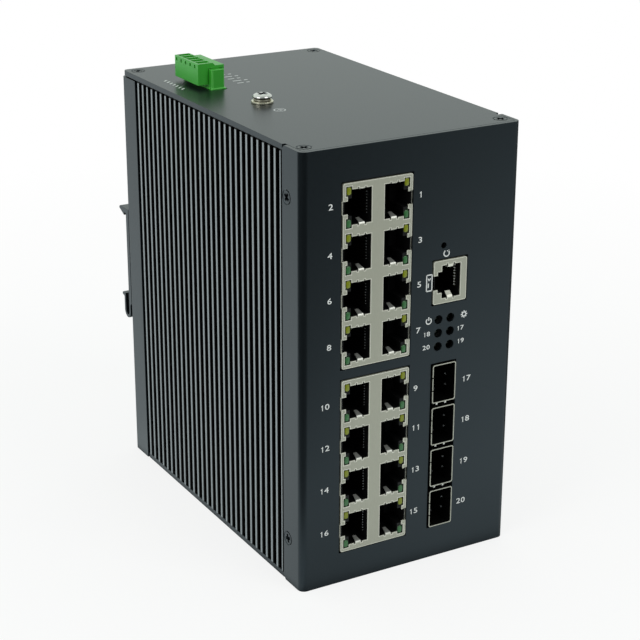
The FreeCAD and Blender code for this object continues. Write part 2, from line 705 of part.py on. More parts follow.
def make_cage(middle):
    """Cage for one pluggable module: folded sheet with a latch tongue, spring fingers and feet."""
    outside = (CAGE_LEFT, CAGE_RIGHT)
    inside = widened(outside, -CAGE_SHEET)
    rear = CAGE_DEPTH - CAGE_SHEET
    floor = (0, inside[0])
    skin = eased_block(outside, (-CAGE_PROUD, CAGE_DEPTH), about(middle, CAGE_HALF), ALONG_Y, CAGE_EASE)
    hollow = eased_block(inside, (-CAGE_PROUD - 1, rear), about(middle, CAGE_HALF - CAGE_SHEET), ALONG_Y,
                         CAGE_EASE - PLAY)
    socket_gap = block(floor, (CAGE_DEPTH - SOCKET_DEEP - PLAY, rear), about(middle, SOCKET_HALF + PLAY))
    cuts = [hollow, socket_gap]
    extras = []
    for side in (-1, 1):
        wall = middle + side * CAGE_HALF
        slot = about(middle + side * LATCH_SLOT_HALF, LATCH_SLOT_WIDTH / 2)
        cuts.append(block(floor, (-CAGE_PROUD - 1, LATCH_SLOT_DEEP), slot))
        for x in FINGER_X:
            path = zip(FINGER_Y, (wall, wall + side * FINGER_RISE, wall))
            corners = [Vector(x - FINGER_WIDTH / 2, y, z) for y, z in path]
            extras.append(prism(corners, ALONG_X * FINGER_WIDTH))
        for y in CAGE_FEET_Y:
            foot = about(wall - side * 2 * CAGE_EASE, CAGE_SHEET)
            extras.append(block((UPLINK_BOARD_RIGHT, CAGE_LEFT), (y, y + 4 * CAGE_SHEET), foot))
    return fused([skin.cut(cuts)] + extras)


def make_cages():
    sockets = []
    front = CAGE_DEPTH - SOCKET_DEEP
    card = about(CAGE_LEFT + SOCKET_HEIGHT / 2, BOARD / 2)
    for number, middle in enumerate(cage_middles(), start=1):
        save("sfp_cage_" + str(number), make_cage(middle))
        body = block((UPLINK_BOARD_RIGHT, CAGE_LEFT + SOCKET_HEIGHT), (front, CAGE_DEPTH - 2 * CAGE_SHEET),
                     about(middle, SOCKET_HALF))
        slot_width = about(middle, SOCKET_HALF - 2 * CAGE_SHEET)
        sockets.append(body.cut(block(card, (front - 1, front + SOCKET_DEEP / 2), slot_width)))
    save_group("sfp_connectors", sockets)


def make_indicators():
    """Indicator lamps behind their holes, in one holder on the uplink board."""
    heights = widened((LIGHT_Z[0], LIGHT_Z[-1]), HOLDER_RIM)
    holder = block((UPLINK_BOARD_RIGHT, LIGHT_X[-1] + HOLDER_RIM), HOLDER_Y, heights)
    lens = LIGHT_HOLE - HOLE_PLAY
    lights = []
    for x in LIGHT_X:
        for z in LIGHT_Z:
            tip = Vector(x, SHEET + HOLE_PLAY, z)
            base = Vector(x, HOLDER_Y[1] - SHEET, z)
            lights.append(bar(lens, tip, base))
            holder = holder.cut(bar(lens + THREAD_PLAY, tip, base))
    save_group("indicator_lights", lights)
    save("indicator_holder", holder)


def make_reset_switch():
    """Push switch on the uplink board; its plunger slides back in a guide."""
    front = HOLDER_Y[0]
    sides = (UPLINK_BOARD_RIGHT, RESET_X + RESET_BODY_HALF)
    body = block(sides, (front, front + RESET_BODY_DEEP), about(RESET_Z, RESET_BODY_HALF))
    guide_end = front + RESET_GUIDE
    guide = bar(RESET_PLUNGER + PLAY, Vector(RESET_X, 0, RESET_Z), Vector(RESET_X, guide_end, RESET_Z))
    save("reset_switch_body", body.cut(guide))
    tip = Vector(RESET_X, SHEET + 2 * RESET_TRAVEL, RESET_Z)
    save("reset_plunger", bar(RESET_PLUNGER, tip, Vector(RESET_X, guide_end - 2 * RESET_TRAVEL, RESET_Z)))


def pole_places():
    """Positions of the terminal's poles along y."""
    return [POLE_MIDDLE + (i - (POLE_COUNT - 1) / 2) * POLE_PITCH for i in range(POLE_COUNT)]


def make_terminal_header():
    """Upright header that stands on the main board's edge, with one L-shaped pin for each pole."""
    body = eased_block(HEADER_X, HEADER_Y, HEADER_Z, ALONG_Z, LIP_EASE)
    rim = eased_block(LIP_X, LIP_Y, (HEIGHT - LIP_EASE, HEIGHT + LIP_EASE), ALONG_Z, LIP_EASE)
    floor = HEADER_Z[0] + HEADER_FLOOR
    cavity = block(widened(NOSE_X, HOLE_PLAY), PLUG_Y, (floor, HEADER_Z[1] + 1))
    cuts = [cavity]
    pins = []
    half = PIN_THICK / 2
    tail_z = HEADER_Z[0] - PIN_THICK
    tail_x = MAIN_BOARD_RIGHT - BOARD - PIN_THICK
    for y in pole_places():
        path = [(PIN_X + half, PIN_TOP), (PIN_X - half, PIN_TOP), (PIN_X - half, tail_z + half),
                (tail_x, tail_z + half), (tail_x, tail_z - half), (PIN_X + half, tail_z - half)]
        pins.append(prism([Vector(x, y - half, z) for x, z in path], ALONG_Y * PIN_THICK))
        loose = half + THREAD_PLAY
        cuts.append(block(about(PIN_X, loose), about(y, loose), (HEADER_Z[0] - 1, floor + 1)))
    save("terminal_header", fused([body, rim]).cut(cuts))
    save_group("terminal_header_pins", pins)


def make_terminal_plug():
    """Plug of the power terminal: an overhang with wire pockets and a nose that enters the header."""
    seat = HEADER_Z[1] + HOLE_PLAY
    left_gap = HEADER_X[0] - HOLE_PLAY
    right_gap = HEADER_X[1] + HOLE_PLAY
    nose_end = HEADER_Z[0] + HEADER_FLOOR + HOLE_PLAY
    section = [(PLUG_LEFT, PLUG_BOTTOM), (left_gap, PLUG_BOTTOM), (left_gap, seat), (NOSE_X[0], seat),
               (NOSE_X[0], nose_end), (NOSE_X[1], nose_end), (NOSE_X[1], seat), (right_gap, seat),
               (right_gap, SKIRT_BOTTOM), (PLUG_RIGHT, SKIRT_BOTTOM), (PLUG_RIGHT, STRIP_TOP),
               (STRIP_LEFT, STRIP_TOP), (STRIP_LEFT - PLUG_TOP + STRIP_TOP, PLUG_TOP),
               (PLUG_LEFT, PLUG_TOP)]
    ends = widened(PLUG_Y, -HOLE_PLAY)
    plug = prism([Vector(x, ends[0], z) for x, z in section], ALONG_Y * (ends[1] - ends[0]))
    shaft = (PLUG_LEFT + POCKET_WALL, left_gap - POCKET_WALL)
    floor = PLUG_BOTTOM + POCKET_WALL
    cuts = []
    clips = []
    for y in pole_places():
        pocket = (PLUG_TOP - POCKET_DEEP, PLUG_TOP + 1)
        cuts.append(block((shaft[0], NOSE_X[0]), about(y, POCKET_HALF), pocket))
        cuts.append(block(shaft, about(y, SHAFT_HALF), (floor, PLUG_TOP)))
        cuts.append(block((0, shaft[0]), about(y, RELEASE_HALF), about(pocket[0], RELEASE_HALF)))
        cuts.append(block(about(PIN_X, PIN_THICK), about(y, PIN_THICK), (0, PIN_TOP + PIN_THICK)))
        back = shaft[1]
        path = [(back, floor), (back, floor + CLIP_HEIGHT), (back - CLIP_REACH, floor + CLIP_HEIGHT / 2),
                (back - CLIP_THICK, floor + CLIP_HEIGHT - 3 * CLIP_THICK), (back - CLIP_THICK, floor)]
        clips.append(prism([Vector(x, y - SHAFT_HALF / 2, z) for x, z in path], ALONG_Y * SHAFT_HALF))
    save("terminal_plug", plug.cut(cuts))
    save_group("terminal_plug_clips", clips)


def make_boards():
    """Main board on the left heat sink and uplink board on the long pillars."""
    hole = THREAD + HOLE_PLAY
    main = block((MAIN_BOARD_RIGHT - BOARD, MAIN_BOARD_RIGHT), MAIN_BOARD_Y, MAIN_BOARD_Z)
    cuts = []
    for y, z in SHARED_PILLARS + OUTER_PILLARS:
        cuts.append(bar(hole, Vector(0, y, z), Vector(WIDTH, y, z), HIDDEN_SIDES))
    uplink = block((UPLINK_BOARD_RIGHT - BOARD, UPLINK_BOARD_RIGHT), UPLINK_BOARD_Y, UPLINK_BOARD_Z)
    save("uplink_board", uplink.cut(cuts))
    tail_z = HEADER_Z[0] - PIN_THICK
    for y in pole_places():
        cuts.append(bar(PIN_THICK, Vector(0, y, tail_z), Vector(WIDTH, y, tail_z), HIDDEN_SIDES))
    save("main_board", main.cut(cuts))


def make_pillars():
    """Low pillars under the main board, long ones on it, and the screws of both boards."""
    bore = THREAD + THREAD_PLAY
    board_left = MAIN_BOARD_RIGHT - BOARD
    top = UPLINK_BOARD_RIGHT - BOARD
    low = []
    for y, z in SHARED_PILLARS + OUTER_PILLARS:
        foot = Vector(SINK_THICKNESS, y, z)
        head = Vector(board_left, y, z)
        low.append(hex_bar(PILLAR_FLATS, foot, head).cut(bar(bore, foot, head, HIDDEN_SIDES)))
    save_group("main_board_pillars", low)
    high = []
    for y, z in SHARED_PILLARS:
        seat = Vector(MAIN_BOARD_RIGHT, y, z)
        head = Vector(top, y, z)
        stud = bar(THREAD, Vector(SINK_THICKNESS, y, z), seat, HIDDEN_SIDES)
        thread = bar(bore, head, head + LEFTWARD * (PAN_LENGTH + 1), HIDDEN_SIDES)
        high.append(fused([hex_bar(PILLAR_FLATS, seat, head), stud]).cut(thread))
    save_group("uplink_board_pillars", high)
    on_main = [Vector(MAIN_BOARD_RIGHT, y, z) for y, z in OUTER_PILLARS]
    on_uplink = [Vector(UPLINK_BOARD_RIGHT, y, z) for y, z in SHARED_PILLARS]
    save_group("main_board_screws", driven(pan_screw(), on_main, LEFTWARD))
    save_group("uplink_board_screws", driven(pan_screw(), on_uplink, LEFTWARD))


def make_link():
    """Card that joins the two boards, in an edge socket on each."""
    gap = (MAIN_BOARD_RIGHT, UPLINK_BOARD_RIGHT - BOARD)
    card_x = widened(gap, -LINK_FLOOR)
    card_z = widened(LINK_Z, -LINK_FLOOR)
    slot = block(card_x, about(LINK_Y, BOARD / 2 + PLAY), widened(card_z, PLAY))
    sockets = []
    for sides in ((gap[0], gap[0] + LINK_SOCKET), (gap[1] - LINK_SOCKET, gap[1])):
        sockets.append(block(sides, about(LINK_Y, LINK_FLOOR), LINK_Z).cut(slot))
    save_group("link_sockets", sockets)
    save("link_card", block(card_x, about(LINK_Y, BOARD / 2), card_z))


def square_part(x, place, half):
    """Flat square component on the main board, by its middle (y, z) and half its side."""
    return block(x, about(place[0], half), about(place[1], half))


def make_components():
    """Main parts on the board: chips and heat pads towards the left sink, power parts on the right."""
    left = MAIN_BOARD_RIGHT - BOARD
    right = MAIN_BOARD_RIGHT
    switch_face = left - SWITCH_CHIP_HEIGHT
    line_face = left - LINE_CHIP_HEIGHT
    save("switch_chip", square_part((switch_face, left), SWITCH_CHIP, SWITCH_CHIP_HALF))
    line_chips = []
    pads = [square_part((SINK_THICKNESS, switch_face), SWITCH_CHIP, SWITCH_CHIP_HALF - PAD_INSET)]
    for place in LINE_CHIPS:
        line_chips.append(square_part((line_face, left), place, LINE_CHIP_HALF))
        pads.append(square_part((SINK_THICKNESS, line_face), place, LINE_CHIP_HALF - PAD_INSET))
    save_group("line_chips", line_chips)
    save_group("thermal_pads", pads)
    low_part = (right, right + LOW_PART_HEIGHT)
    save("memory_chip", block(low_part, MEMORY_CHIP_Y, MEMORY_CHIP_Z))
    save("crystal", eased_block(low_part, CRYSTAL_Y, CRYSTAL_Z, ALONG_X, CRYSTAL_EASE))
    coils = []
    for place in INDUCTORS:
        y = about(place[0], INDUCTOR_HALF)
        z = about(place[1], INDUCTOR_HALF)
        coils.append(eased_block((right, right + INDUCTOR_HEIGHT), y, z, ALONG_X, INDUCTOR_EASE))
    save_group("power_inductors", coils)
    cans = [bar(CAN_RADIUS, Vector(right, y, z), Vector(right + CAN_HEIGHT, y, z)) for y, z in CAPACITORS]
    save_group("capacitors", cans)


make_front_panel()
make_rear_panel()
make_heat_sinks()
make_top_plate()
make_bottom_plate()
make_rail_bracket()
make_ground_set()
for jack_name, jack_bottom in JACK_BOTTOMS.items():
    make_jack_block(jack_name, jack_bottom)
make_console_jack()
make_cages()
make_indicators()
make_reset_switch()
make_terminal_header()
make_terminal_plug()
make_boards()
make_pillars()
make_link()
make_components()
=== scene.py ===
import json
import math

import bmesh
import bpy
from mathutils import Matrix, Vector


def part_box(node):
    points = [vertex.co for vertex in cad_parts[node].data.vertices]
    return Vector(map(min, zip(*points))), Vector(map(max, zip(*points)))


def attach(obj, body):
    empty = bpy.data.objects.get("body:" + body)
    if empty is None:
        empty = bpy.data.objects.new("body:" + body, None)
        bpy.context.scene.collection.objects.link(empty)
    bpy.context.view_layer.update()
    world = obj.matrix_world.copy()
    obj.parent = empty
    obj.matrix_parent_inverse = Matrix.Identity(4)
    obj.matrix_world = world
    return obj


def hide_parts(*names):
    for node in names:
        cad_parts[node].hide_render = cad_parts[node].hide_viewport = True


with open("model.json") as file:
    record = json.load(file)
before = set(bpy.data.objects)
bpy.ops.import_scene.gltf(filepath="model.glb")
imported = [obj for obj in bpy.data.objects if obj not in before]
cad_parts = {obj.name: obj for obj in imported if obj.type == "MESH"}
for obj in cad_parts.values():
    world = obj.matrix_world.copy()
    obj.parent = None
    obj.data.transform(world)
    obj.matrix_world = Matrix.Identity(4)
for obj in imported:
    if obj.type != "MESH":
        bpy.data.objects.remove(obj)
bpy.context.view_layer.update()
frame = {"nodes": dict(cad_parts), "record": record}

# Finned rail-mount network switch: finishes, print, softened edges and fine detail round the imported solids.
# Unless a comment says otherwise, places and sizes are millimetres to the right, back and up from the
# housing's front lower left corner, and angles are degrees.
MM = 0.001

# Housing: left side and front face in the frame, in metres, then its top, width and rear face
PANEL_LOW, PANEL_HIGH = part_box("front_panel")
LEFT = PANEL_LOW[0]
FRONT = PANEL_LOW[1]
TOP = PANEL_HIGH[2] / MM
WIDTH = (PANEL_HIGH[0] - LEFT) / MM
REAR = 140.5

# Material slot and body of each node
RECORD = frame["record"]
SLOTS = {part["node"]: part["material_slot"] for part in RECORD["subparts"]}
BODIES = {node: body for body, nodes in RECORD["behaviour"]["bodies"].items() for node in nodes}

# Camera in the frame, found from the housing's edges in the photograph
CAMERA_PLACE = (-301.457, -534.715, 301.985)
CAMERA_AZIMUTH = -29.966
CAMERA_ELEVATION = 20.71
CAMERA_ROLL = 0.17
CAMERA_LENS = 96.39
SENSOR_WIDTH = 36

# Studio lights in the frame: place and width in metres and power in watts, all aimed at one point
SOFTBOXES = {
    "front_softbox": ((0.5, -1.2, 1.0), 0.8, 6.0),
    "left_softbox": ((-1.3, -0.3, 0.7), 0.9, 6.0),
}
LIGHT_AIM = (0, 0, 0.08)

# Studio world as the object sees it: dim where the front panel faces and bright behind, by a direction's y
WORLD_TURN = (-1.0, 0.3)
WORLD_LEVELS = (0.3, 0.92)

# Studio floor in metres: half its width
FLOOR_HALF = 3.0
# White to the camera far from the middle, and partly matte near it, so that the floor takes a shadow
SHADOW_REACH = (0.15, 0.5)
SHADOW_WHITE = 0.8
# Changes of its brightness in reflections, over stretches of x + y
GLOW_STEPS = ((-0.42, -0.2, 0.2), (-0.2, -0.165, 0.68), (-0.11, -0.06, 0.18), (-0.045, 0.0, 0.15),
              (0.0, 0.04, -0.28))
# Dimmer in reflections to the right of the front panel: weight of y beside x, start, end and loss
RIGHT_SHADE = (0.75, 0.03, 0.1, 0.55)
# Painted shadow of the object in reflections close to the front panel: least share, rises by distance from
# it, and its left end
NEAR_SHARE = 0.35
NEAR_PAINTED_SHADOW = ((0.0, 0.007, 0.4), (0.007, 0.06, 0.25))
SHADE_END = (0.002, -0.002)

# Grain of the finishes: noise detail and roughness, the span of it that sets the gloss, and depth by width
NOISE_DETAIL = 4.0
NOISE_ROUGHNESS = 0.6
NOISE_SPAN = (0.25, 0.75)
GRAIN_DEPTH = 0.2
# Painted highlight on the fin tips, by their distance from the housing's middle
FIN_TIP_HIGHLIGHT = (43.246, 43.2495)

# Widths of the softened edges
SHEET_EDGE = 0.15
FIN_EDGE = 0.36
FIN_EDGE_STEPS = 3
TERMINAL_EDGE = 0.2
CAGE_EDGE = 0.08
SHIELD_EDGE = 0.12
WASHER_EDGE = 0.05

# Limits for meshes: points welded, folds taken as flat or round, and the longest edge of a round face
WELD = 0.002
FLAT_FOLD = 0.5
ROUND_FOLDS = (1, 30)
SMOOTH_REACH = 5.0
# Slack where points are picked by their place
HAIR = 0.01
# Left and right of a middle line, or the two ways across a mouth
SIDES = (-1, 1)

# Countersunk screws: (radius, height) profile, recess as arm, half width and depth, and their turns
SCREW_PROFILE = [(0, -8.0), (1.2, -8.0), (1.5, -7.6), (1.5, -1.18), (2.23, -0.44), (2.23, -0.02)]
SCREW_RECESS = (1.6, 0.58, 2.2)
RECESS_TAPER = 0.55
FIRST_TURN = 17
NEXT_TURN = 41
# Places of each group, with the way that the heads face
CORNER_INSET = 4.6
CORNER_DEPTHS = (6.0, 135.3)
CORNERS = [(x, y) for x in (CORNER_INSET, WIDTH - CORNER_INSET) for y in CORNER_DEPTHS]
EDGE_INSET = 9.5
EDGE_HEIGHTS = (17.3, 142.0)
BRACKET_REAR = 143.0
BRACKET_COLUMNS = (18.0, 68.5)
BRACKET_ROWS = (74.0, 92.0)
SCREW_GROUPS = {
    "top_plate_screws": [((x, y, TOP), (0, 0, 1)) for x, y in CORNERS],
    "bottom_plate_screws": [((x, y, 0), (0, 0, -1)) for x, y in CORNERS],
    "front_panel_screws": [((x, EDGE_INSET, z), (way, 0, 0))
                           for x, way in ((0, -1), (WIDTH, 1)) for z in EDGE_HEIGHTS],
    "rear_panel_screws": [((x, REAR, z), (0, 1, 0))
                          for x in (EDGE_INSET, WIDTH - EDGE_INSET) for z in EDGE_HEIGHTS],
    "rail_bracket_screws": [((x, BRACKET_REAR, z), (0, 1, 0))
                            for x in BRACKET_COLUMNS for z in BRACKET_ROWS],
}

# Ground set on the top plate, with (radius, height) profiles
GROUND_PLACE = (21.8, 66.6)
FLAT_WASHER = [(1.6, 0), (3.85, 0), (4.0, 0.15), (4.0, 0.65), (3.85, 0.8), (1.6, 0.8), (1.6, 0)]
SPRING_WASHER = [(1.6, 0.82), (3.1, 0.82), (3.25, 0.95), (3.25, 1.4), (3.1, 1.52), (1.6, 1.52)]
SPRING_WASHER_SWEEP = 350
SPRING_WASHER_STEPS = 40
SPRING_WASHER_RISE = 0.0045
SPRING_WASHER_TURN = -60
GROUND_SCREW = [(0, -6.3), (1.3, -6.3), (1.5, -6.1), (1.5, 1.75), (3.25, 1.75), (3.5, 1.98), (3.5, 2.2),
                (3.42, 2.5), (3.2, 2.8), (2.9, 3.04), (2.55, 3.21), (2.25, 3.3)]
GROUND_RECESS = (2.05, 0.72, 1.5)
GROUND_TURN = 30
GROUND_SHARP = 35
# Shade under its head, by height
GROUND_SHADE = (TOP + 2.5, TOP + 2.1)

# Shields: face, thickness, corners, and rims of painted highlight as near and far reach from an edge
SHIELD_FACE = -0.3
TIN = 0.3
SHIELD_CORNER = 0.7
RIM = (0.08, 0.27)
RIM_LIFT = 0.015
# Grounding springs: relief slits beside them, half width, taper, and the strip's thickness back and up
SPRING_HALF = 1.2
RELIEF = 0.4
STRIP_HALF = 1.05
STRIP_TAPER = 0.6
STRIP_BACK = 0.1
STRIP_THICK = 0.22

# Stacked jacks: the blocks' upright middle line, half width and depth, then their lower and upper ends
JACK_MIDDLE = 29.2
JACK_HALF = 13.5
JACK_BACK = 27.0
JACK_BLOCKS = {"lower": (12.0, 77.2), "upper": (81.5, 146.7)}
JACK_PITCH = 16.15
JACK_ROWS = 4
# Hole for one jack: distances out from the middle line, and up from the jack's middle
MOUTH_NEAR = 2.5
MOUTH_EDGE = 6.05
MOUTH_SLIT = 6.6
WINDOW_OUT = (10.1, 12.4)
WINDOW_UP = (3.8, 7.15)
LATCH_NEAR = 11.7
LATCH_HALF = 2.2
# Bulge beside each latch, and how far the right-hand ones lie back
BULGE = 0.35
BULGE_FOOT = 2.6
LATCH_SET_BACK = 0.9
# Springs below (1) and above (-1) each mouth, as (depth, rise) from its edge
SPRING_PLACE = 6.25
JACK_SPRINGS = {
    1: [(SHIELD_FACE, 0.0), (-0.1, 0.4), (2.7, 1.3)],
    -1: [(SHIELD_FACE, 0.0), (0.1, 0.3), (3.4, 0.6)],
}

# Lens caps in the lamp windows: reach from the middle line, heights from a jack's middle, depth and dome
CAP_OUT = (10.2, 12.2)
CAP_HEIGHTS = {"yellow": (4.1, 7.05), "green": (-7.05, -4.1)}
CAP_DEEP = 0.12
CAP_MIDDLE = 0.1
CAP_CORNER = 0.85
CAP_CORNER_STEPS = 4
CAP_STEPS = ((0.14, 0.16), (0.18, 0.1), (0.2, 0.04))
# Depths over which a lens turns from painted shade at its edge to a painted highlight in its middle
CAP_PAINTED_LIGHT = (-0.04, -0.26)

# Console jack: left, right, lower and upper side, depth, and the mouth by distance from the middle height
CONSOLE = (52.0, 65.6, 98.2, 113.9)
CONSOLE_MIDDLE = (CONSOLE[2] + CONSOLE[3]) / 2
CONSOLE_BACK = 21.0
CONSOLE_LATCH = 2.55
CONSOLE_EDGE = 5.95
CONSOLE_MOUTH = [(53.7, CONSOLE_LATCH), (53.7, 3.8), (55.4, 3.8), (55.4, CONSOLE_EDGE)]
CONSOLE_SLIT = 6.5
CONSOLE_WALL = 63.0
CONSOLE_SPRING = 58.9
CONSOLE_SPRINGS = {
    1: [(SHIELD_FACE, 0.0), (0.2, 0.8), (0.5, 0.85), (1.6, 1.8)],
    -1: [(SHIELD_FACE, 0.0), (-0.2, 0.8), (1.8, 1.2)],
}

# Contacts: pitch, front end and slope, and the points on them by depth and size
CONTACT_COUNT = 8
CONTACT_PITCH = 1.02
CONTACT_FRONT = 2.5
CONTACT_SLOPE = 0.39
TIP_RIDGE = ((-0.4, -0.8), (0.7, 0.0), (0.0, 0.8))
JACK_TIP = (2.8, 0.26)
CONSOLE_TIP = (3.1, 0.45)
CONSOLE_TIP_LIFT = 0.6

# Module cages: lowest middle, pitch, half height, floor thickness and the inner face of the right wall
CAGE_COUNT = 4
CAGE_LOWEST = 19.75
CAGE_PITCH = 16.23
CAGE_HALF = 7.25
CAGE_FLOOR = 0.35
CAGE_WALL = 61.85
# Fingers between two cages, as (depth, drop), and tabs in the wall and the floor, with their lengths
FINGER_PLACES = (54.6, 58.2)
FINGER_PATH = [(-0.55, 0.3), (-0.4, 0.75), (4.2, 0.05)]
FINGER_HALF = 0.32
WALL_TAB = ((0.0, 4.9), (-0.4, 5.4), (0.0, 5.9))
WALL_TAB_HEIGHTS = (-3.8, 0.28)
WALL_TAB_LONG = 0.5
FLOOR_TAB = ((9.3, 0.0), (9.9, 0.5), (10.5, 0.0))
FLOOR_TAB_PLACE = 59.6
FLOOR_TAB_LONG = 0.8

# Indicator lamps: columns, rows, depth and the (radius, height) profile of a lens
LAMP_COLUMNS = (54.7, 59.6)
LAMP_ROWS = (82.3, 87.3, 92.3)
LENS_DEPTH = 4.8
LENS_PROFILE = [(0, 3.1), (0.6, 3.02), (1.05, 2.8), (1.35, 2.4), (1.45, 1.9), (1.45, -3.7), (0, -3.7)]
LENS_STEPS = 24
LENS_SHARP = 40

# Print: its lift off the coat, width of a stroke, and the figures' height, share of their size and spacing
INK_LIFT = 0.02
STROKE = 0.42
DIGIT_HEIGHT = 2.1
LAMP_DIGIT_HEIGHT = 1.68
DIGIT_SHARE = 0.72
DIGIT_SWELL = 0.03
DIGIT_STRETCH = 1.28
DIGIT_ADVANCE = 0.95
DIGIT_CURVE_STEPS = 3
# Figure one with its flag, in parts of its height
FIGURE_ONE = [(0.0, -0.5), (0.15, -0.5), (0.15, 0.5), (0.05, 0.5), (-0.04, 0.37), (-0.18, 0.32),
              (-0.18, 0.21), (0.0, 0.23)]
# Numbers by their centres on the front panel
LEFT_NUMBERS = {2: (11.2, 139.3), 4: (11.0, 122.6), 6: (10.9, 106.8), 8: (10.8, 90.3),
                10: (9.2, 68.9), 12: (9.3, 53.4), 14: (9.1, 37.5), 16: (9.1, 20.9)}
RIGHT_NUMBERS = {1: (46.0, 138.7), 3: (46.3, 122.6), 5: (46.3, 106.6), 7: (46.3, 89.8),
                 9: (45.8, 68.3), 11: (46.3, 53.3), 13: (46.4, 37.0), 15: (46.1, 20.5)}
CAGE_NUMBERS = {17: (67.1, 67.8), 18: (67.2, 52.1), 19: (67.1, 35.7), 20: (66.6, 19.7)}
LAMP_NUMBERS = {18: (49.8, 87.7), 17: (63.8, 87.6), 20: (49.8, 82.8), 19: (64.1, 82.7)}

# Symbols by their centres on the front panel, with their radius and sweep
RESET_MARK = (57.2, 116.2)
RESET_RADIUS = 1.1
RESET_SWEEP = (120, 420)
RESET_ARROW = ((1.1, 1.15), (0.05, 0.9), (0.9, 0.05))
POWER_MARK = (50.6, 92.5)
POWER_RADIUS = 1.05
POWER_SWEEP = (125, 415)
POWER_STROKE = (0.2, 1.5)
GEAR_MARK = (65.3, 92.5)
GEAR_RADIUS = 0.75
GEAR_TEETH = 8
TOOTH_REACH = (0.9, 1.35)
# Sign of a screen with a prompt: left, right, lower and upper side, and the prompt's strokes
SCREEN_MARK = (49.3, 51.5, 103.6, 109.4)
PROMPT = (((50.9, 108.2), (50.3, 107.3)), ((50.3, 107.3), (49.9, 108.2)), ((50.0, 106.4), (50.0, 104.8)))
# Earth sign on the top plate: centre, ring, and bars as (place to the right, half length)
EARTH_MARK = (21.8, 53.8)
EARTH_RADIUS = 2.0
EARTH_RING = 0.32
EARTH_RING_STEPS = 40
EARTH_STROKE = 0.26
EARTH_STEM = 1.1
EARTH_BARS = ((0.0, 1.1), (0.45, 0.7), (0.9, 0.35))
# Dashes beside the terminal: slanting ones at its left, then pairs at its right, every second pair longer
SLANT_DASH = (5.5, 7.3)
SLANT_HALF = 0.7
SLANT_STROKE = 0.7
SLANT_PLACES = (99.5, 102.0, 104.5, 107.0, 109.5, 112.0, 114.5)
PAIR_DASHES = (28.0, 30.6, 31.8, 33.2)
PAIR_STROKE = 0.75
PAIR_PLACES = (98.0, 101.8, 105.6, 109.4, 113.2)


def linear(hex_colour):
    """Linear colour with alpha from an sRGB hex value."""
    channels = [int(hex_colour[start:start + 2], 16) / 255 for start in (1, 3, 5)]
    curved = [part / 12.92 if part <= 0.04045 else ((part + 0.055) / 1.055) ** 2.4 for part in channels]
    return (*curved, 1.0)


def at(x, y, z):
    """Point in the frame from millimetres right, back and up from the housing's front lower left corner."""
    return Vector((LEFT + x * MM, FRONT + y * MM, z * MM))


def add_node(tree, kind, links=None, **settings):
    """Add a node, set its properties, and set or link its inputs by name or number."""
    made = tree.nodes.new(kind)
    for name, value in settings.items():
        setattr(made, name, value)
    for socket, value in (links or {}).items():
        if isinstance(value, bpy.types.NodeSocket):
            tree.links.new(value, made.inputs[socket])
        else:
            made.inputs[socket].default_value = value
    return made


def grained_finish(name, dark, light, grain, roughness, metallic=0.0, bump=0.0, stretch=(1, 1, 1),
                   specular=0.5, tint="#ffffff", shade=None):
    """Finish whose colour and roughness vary with a grain, in millimetres.

    Shade is (axis, start, end, colour): the colour turns to this one as the place along an axis goes from
    start to end. Axis "X" is measured to both sides of the middle, "Y" from the front panel's face, "Z" up
    from the bottom.
    """
    material = bpy.data.materials.new(name)
    material.use_nodes = True
    tree = material.node_tree
    tree.nodes.clear()
    place = add_node(tree, "ShaderNodeTexCoord").outputs["Object"]
    mapped = add_node(tree, "ShaderNodeMapping", {"Vector": place, "Scale": stretch})
    noise = add_node(tree, "ShaderNodeTexNoise", {
        "Vector": mapped.outputs[0], "Scale": 1 / (grain * MM), "Detail": NOISE_DETAIL,
        "Roughness": NOISE_ROUGHNESS}).outputs[0]
    colours = {"Factor": noise, 6: linear(dark), 7: linear(light)}
    colour = add_node(tree, "ShaderNodeMix", colours, data_type="RGBA").outputs[2]
    if shade:
        axis, start, end, deep = shade
        across = add_node(tree, "ShaderNodeSeparateXYZ", {0: place}).outputs[axis]
        if axis == "X":
            across = add_node(tree, "ShaderNodeMath", {0: across}, operation="ABSOLUTE").outputs[0]
        zero = FRONT if axis == "Y" else 0.0
        amount = add_node(tree, "ShaderNodeMapRange", {
            "Value": across, "From Min": zero + start * MM, "From Max": zero + end * MM})
        colours = {"Factor": amount.outputs[0], 6: colour, 7: linear(deep)}
        colour = add_node(tree, "ShaderNodeMix", colours, data_type="RGBA").outputs[2]
    rough = add_node(tree, "ShaderNodeMapRange", {
        "Value": noise, "From Min": NOISE_SPAN[0], "From Max": NOISE_SPAN[1],
        "To Min": roughness[0], "To Max": roughness[1]})
    shader = add_node(tree, "ShaderNodeBsdfPrincipled", {
        "Base Color": colour, "Metallic": metallic, "Roughness": rough.outputs[0],
        "Specular IOR Level": specular, "Specular Tint": linear(tint)})
    if bump:
        relief = add_node(tree, "ShaderNodeBump", {
            "Height": noise, "Strength": bump, "Distance": grain * MM * GRAIN_DEPTH})
        tree.links.new(relief.outputs[0], shader.inputs["Normal"])
    add_node(tree, "ShaderNodeOutputMaterial", {"Surface": shader.outputs[0]})
    return material


